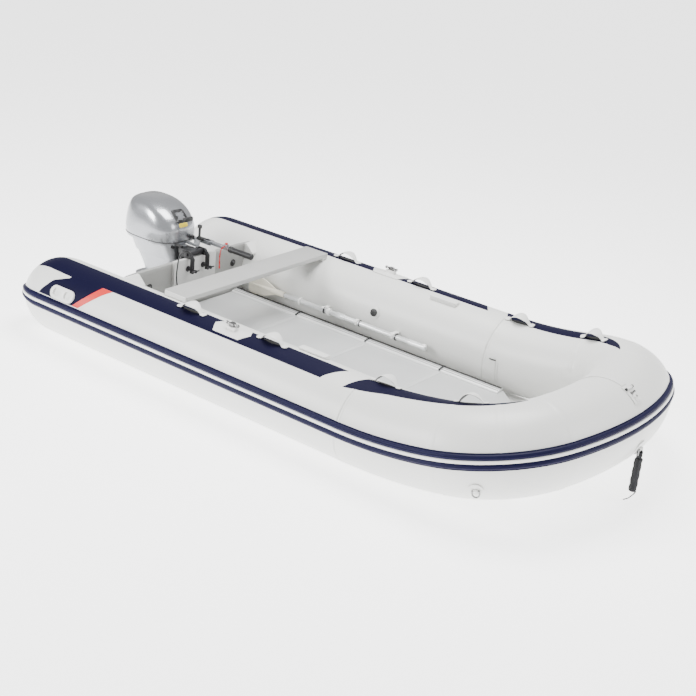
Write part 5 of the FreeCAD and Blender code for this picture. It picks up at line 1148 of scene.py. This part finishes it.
# ---------------------------------------------------------------- safety lanyard
# A curly red cord from the stop switch on the tiller, hanging free.
lanyard_low, lanyard_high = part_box("stop_lanyard")
LANYARD_WIRE, LANYARD_CURL, LANYARD_PITCH = 0.0016, 0.0036, 0.0026
lanyard_top = np.array([(lanyard_low.x + lanyard_high.x) / 2 + 0.001, lanyard_high.y,
                        lanyard_high.z - 0.0045])
LANYARD_ROUTE = np.array([(0, 0, 0), (0, -0.026, -0.002), (0.001, -0.044, -0.022), (0, -0.046, -0.054),
                          (-0.003, -0.044, -0.088), (0, -0.043, -0.122)])
red_cord = moulded_rubber("red_cord", (0.55, 0.010, 0.014), 0.28)
route = cord_piece("lanyard_route", lanyard_top + LANYARD_ROUTE, LANYARD_WIRE, red_cord)
line = curve_line(route)
bpy.data.objects.remove(route)
gaps = np.concatenate([[0], np.cumsum(np.linalg.norm(np.diff(line, axis=0), axis=1))])
lanyard_places = np.linspace(0, gaps[-1], int(gaps[-1] / LANYARD_PITCH * 14))
middle = np.stack([np.interp(lanyard_places, gaps, line[:, axis]) for axis in range(3)], -1)
ahead = np.gradient(middle, axis=0)
ahead /= np.linalg.norm(ahead, axis=1, keepdims=True)
first_side = np.cross(ahead, [1.0, 0.0, 0.0])
first_side /= np.linalg.norm(first_side, axis=1, keepdims=True)
second_side = np.cross(ahead, first_side)
curl = lanyard_places / LANYARD_PITCH * 2 * math.pi
swell = LANYARD_CURL * np.clip(lanyard_places / 0.006, 0, 1)
curl_out = first_side * np.cos(curl)[:, None] + second_side * np.sin(curl)[:, None]
curl_points = middle + curl_out * swell[:, None]
lanyard = cord_piece("stop_lanyard_curl", curl_points, LANYARD_WIRE, red_cord)
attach(lanyard, "tiller")
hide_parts("stop_lanyard")

tag_turn = full_turn(24)
tag_share = np.array([0, 0.08, 0.25, 0.75, 0.92, 1])
tag_scale = np.array([0.45, 0.85, 1, 1, 0.85, 0.45])
tag_place = line[-1]
tag = np.stack([tag_place[0] + 0.0042 * tag_scale[:, None] * np.cos(tag_turn),
                tag_place[1] + 0.0062 * tag_scale[:, None] * np.sin(tag_turn),
                (tag_place[2] + 0.002 - 0.022 * tag_share)[:, None] + 0 * tag_turn], -1)
lanyard_clip = ring_piece("lanyard_clip", tag, red_plastic, sharp=50)
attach(lanyard_clip, "tiller")
line_length(curve_line(lanyard))

# ---------------------------------------------------------------- fuel hose
# Rubber hose from the motor's side, over and down to a coil on the floor boards abaft the seat.
coil_low, coil_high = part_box("fuel_hose_coil")
HOSE = 0.0080
hose_top = np.array([0.058, -0.0824, 0.480])
HOSE_ROUTE = np.array([(0, 0, 0), (0, -0.014, 0.037), (-0.001, -0.048, 0.057), (0, -0.088, 0.050),
                       (0.001, -0.114, 0.020), (0, -0.119, -0.030), (-0.004, -0.121, -0.085),
                       (-0.002, -0.117, -0.141), (0.006, -0.110, -0.197), (0.016, -0.106, -0.244)])
coil_middle = np.array([(coil_low.x + coil_high.x) / 2, (coil_low.y + coil_high.y) / 2])
COIL_TURNS, COIL_RADIUS = 2.6, 0.074
coil_steps = np.arange(int(COIL_TURNS * 16) + 1)
coil_start = math.radians(160)
coil_turn = coil_start + coil_steps * 2 * math.pi / 16
coil_radius = COIL_RADIUS + 0.010 * np.clip(1 - coil_steps / 4, 0, 1)
coil_drop = np.interp(coil_steps, [0, 1, 2, 3, coil_steps[-1]],
                      [0.196, 0.178, 0.168, 0.1635, FLOOR_LEVEL + HOSE / 2 + 0.001])
coil_points = np.stack([coil_middle[0] + coil_radius * np.cos(coil_turn),
                        coil_middle[1] + coil_radius * np.sin(coil_turn), coil_drop], -1)
hose = cord_piece("fuel_hose_line", np.concatenate([hose_top + HOSE_ROUTE, coil_points]), HOSE, black_rubber)
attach(hose, "hull")
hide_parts("fuel_hose", "fuel_hose_coil")

plug_turn = full_turn(24)
plug_share = np.array([0, 0.05, 0.30, 0.34, 0.62, 0.66, 0.95, 1.0]) * 0.040 - 0.004
plug_radius = np.array([0.0046, 0.0062, 0.0062, 0.0049, 0.0049, 0.0066, 0.0066, 0.0040])
plug_way = coil_points[-1] - coil_points[-2]
plug_way[2] = 0
plug_way /= np.linalg.norm(plug_way)
plug_side = np.cross(plug_way, [0, 0, 1.0])
plug = (coil_points[-1] + [0, 0, 0.0022] + plug_share[:, None, None] * plug_way
        + plug_radius[:, None, None] * (np.cos(plug_turn)[None, :, None] * plug_side
                                        + np.sin(plug_turn)[None, :, None] * np.array([0, 0, 1.0])))
hose_plug = ring_piece("fuel_hose_plug", plug, black_plastic, sharp=40)
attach(hose_plug, "hull")
line_length(curve_line(hose))
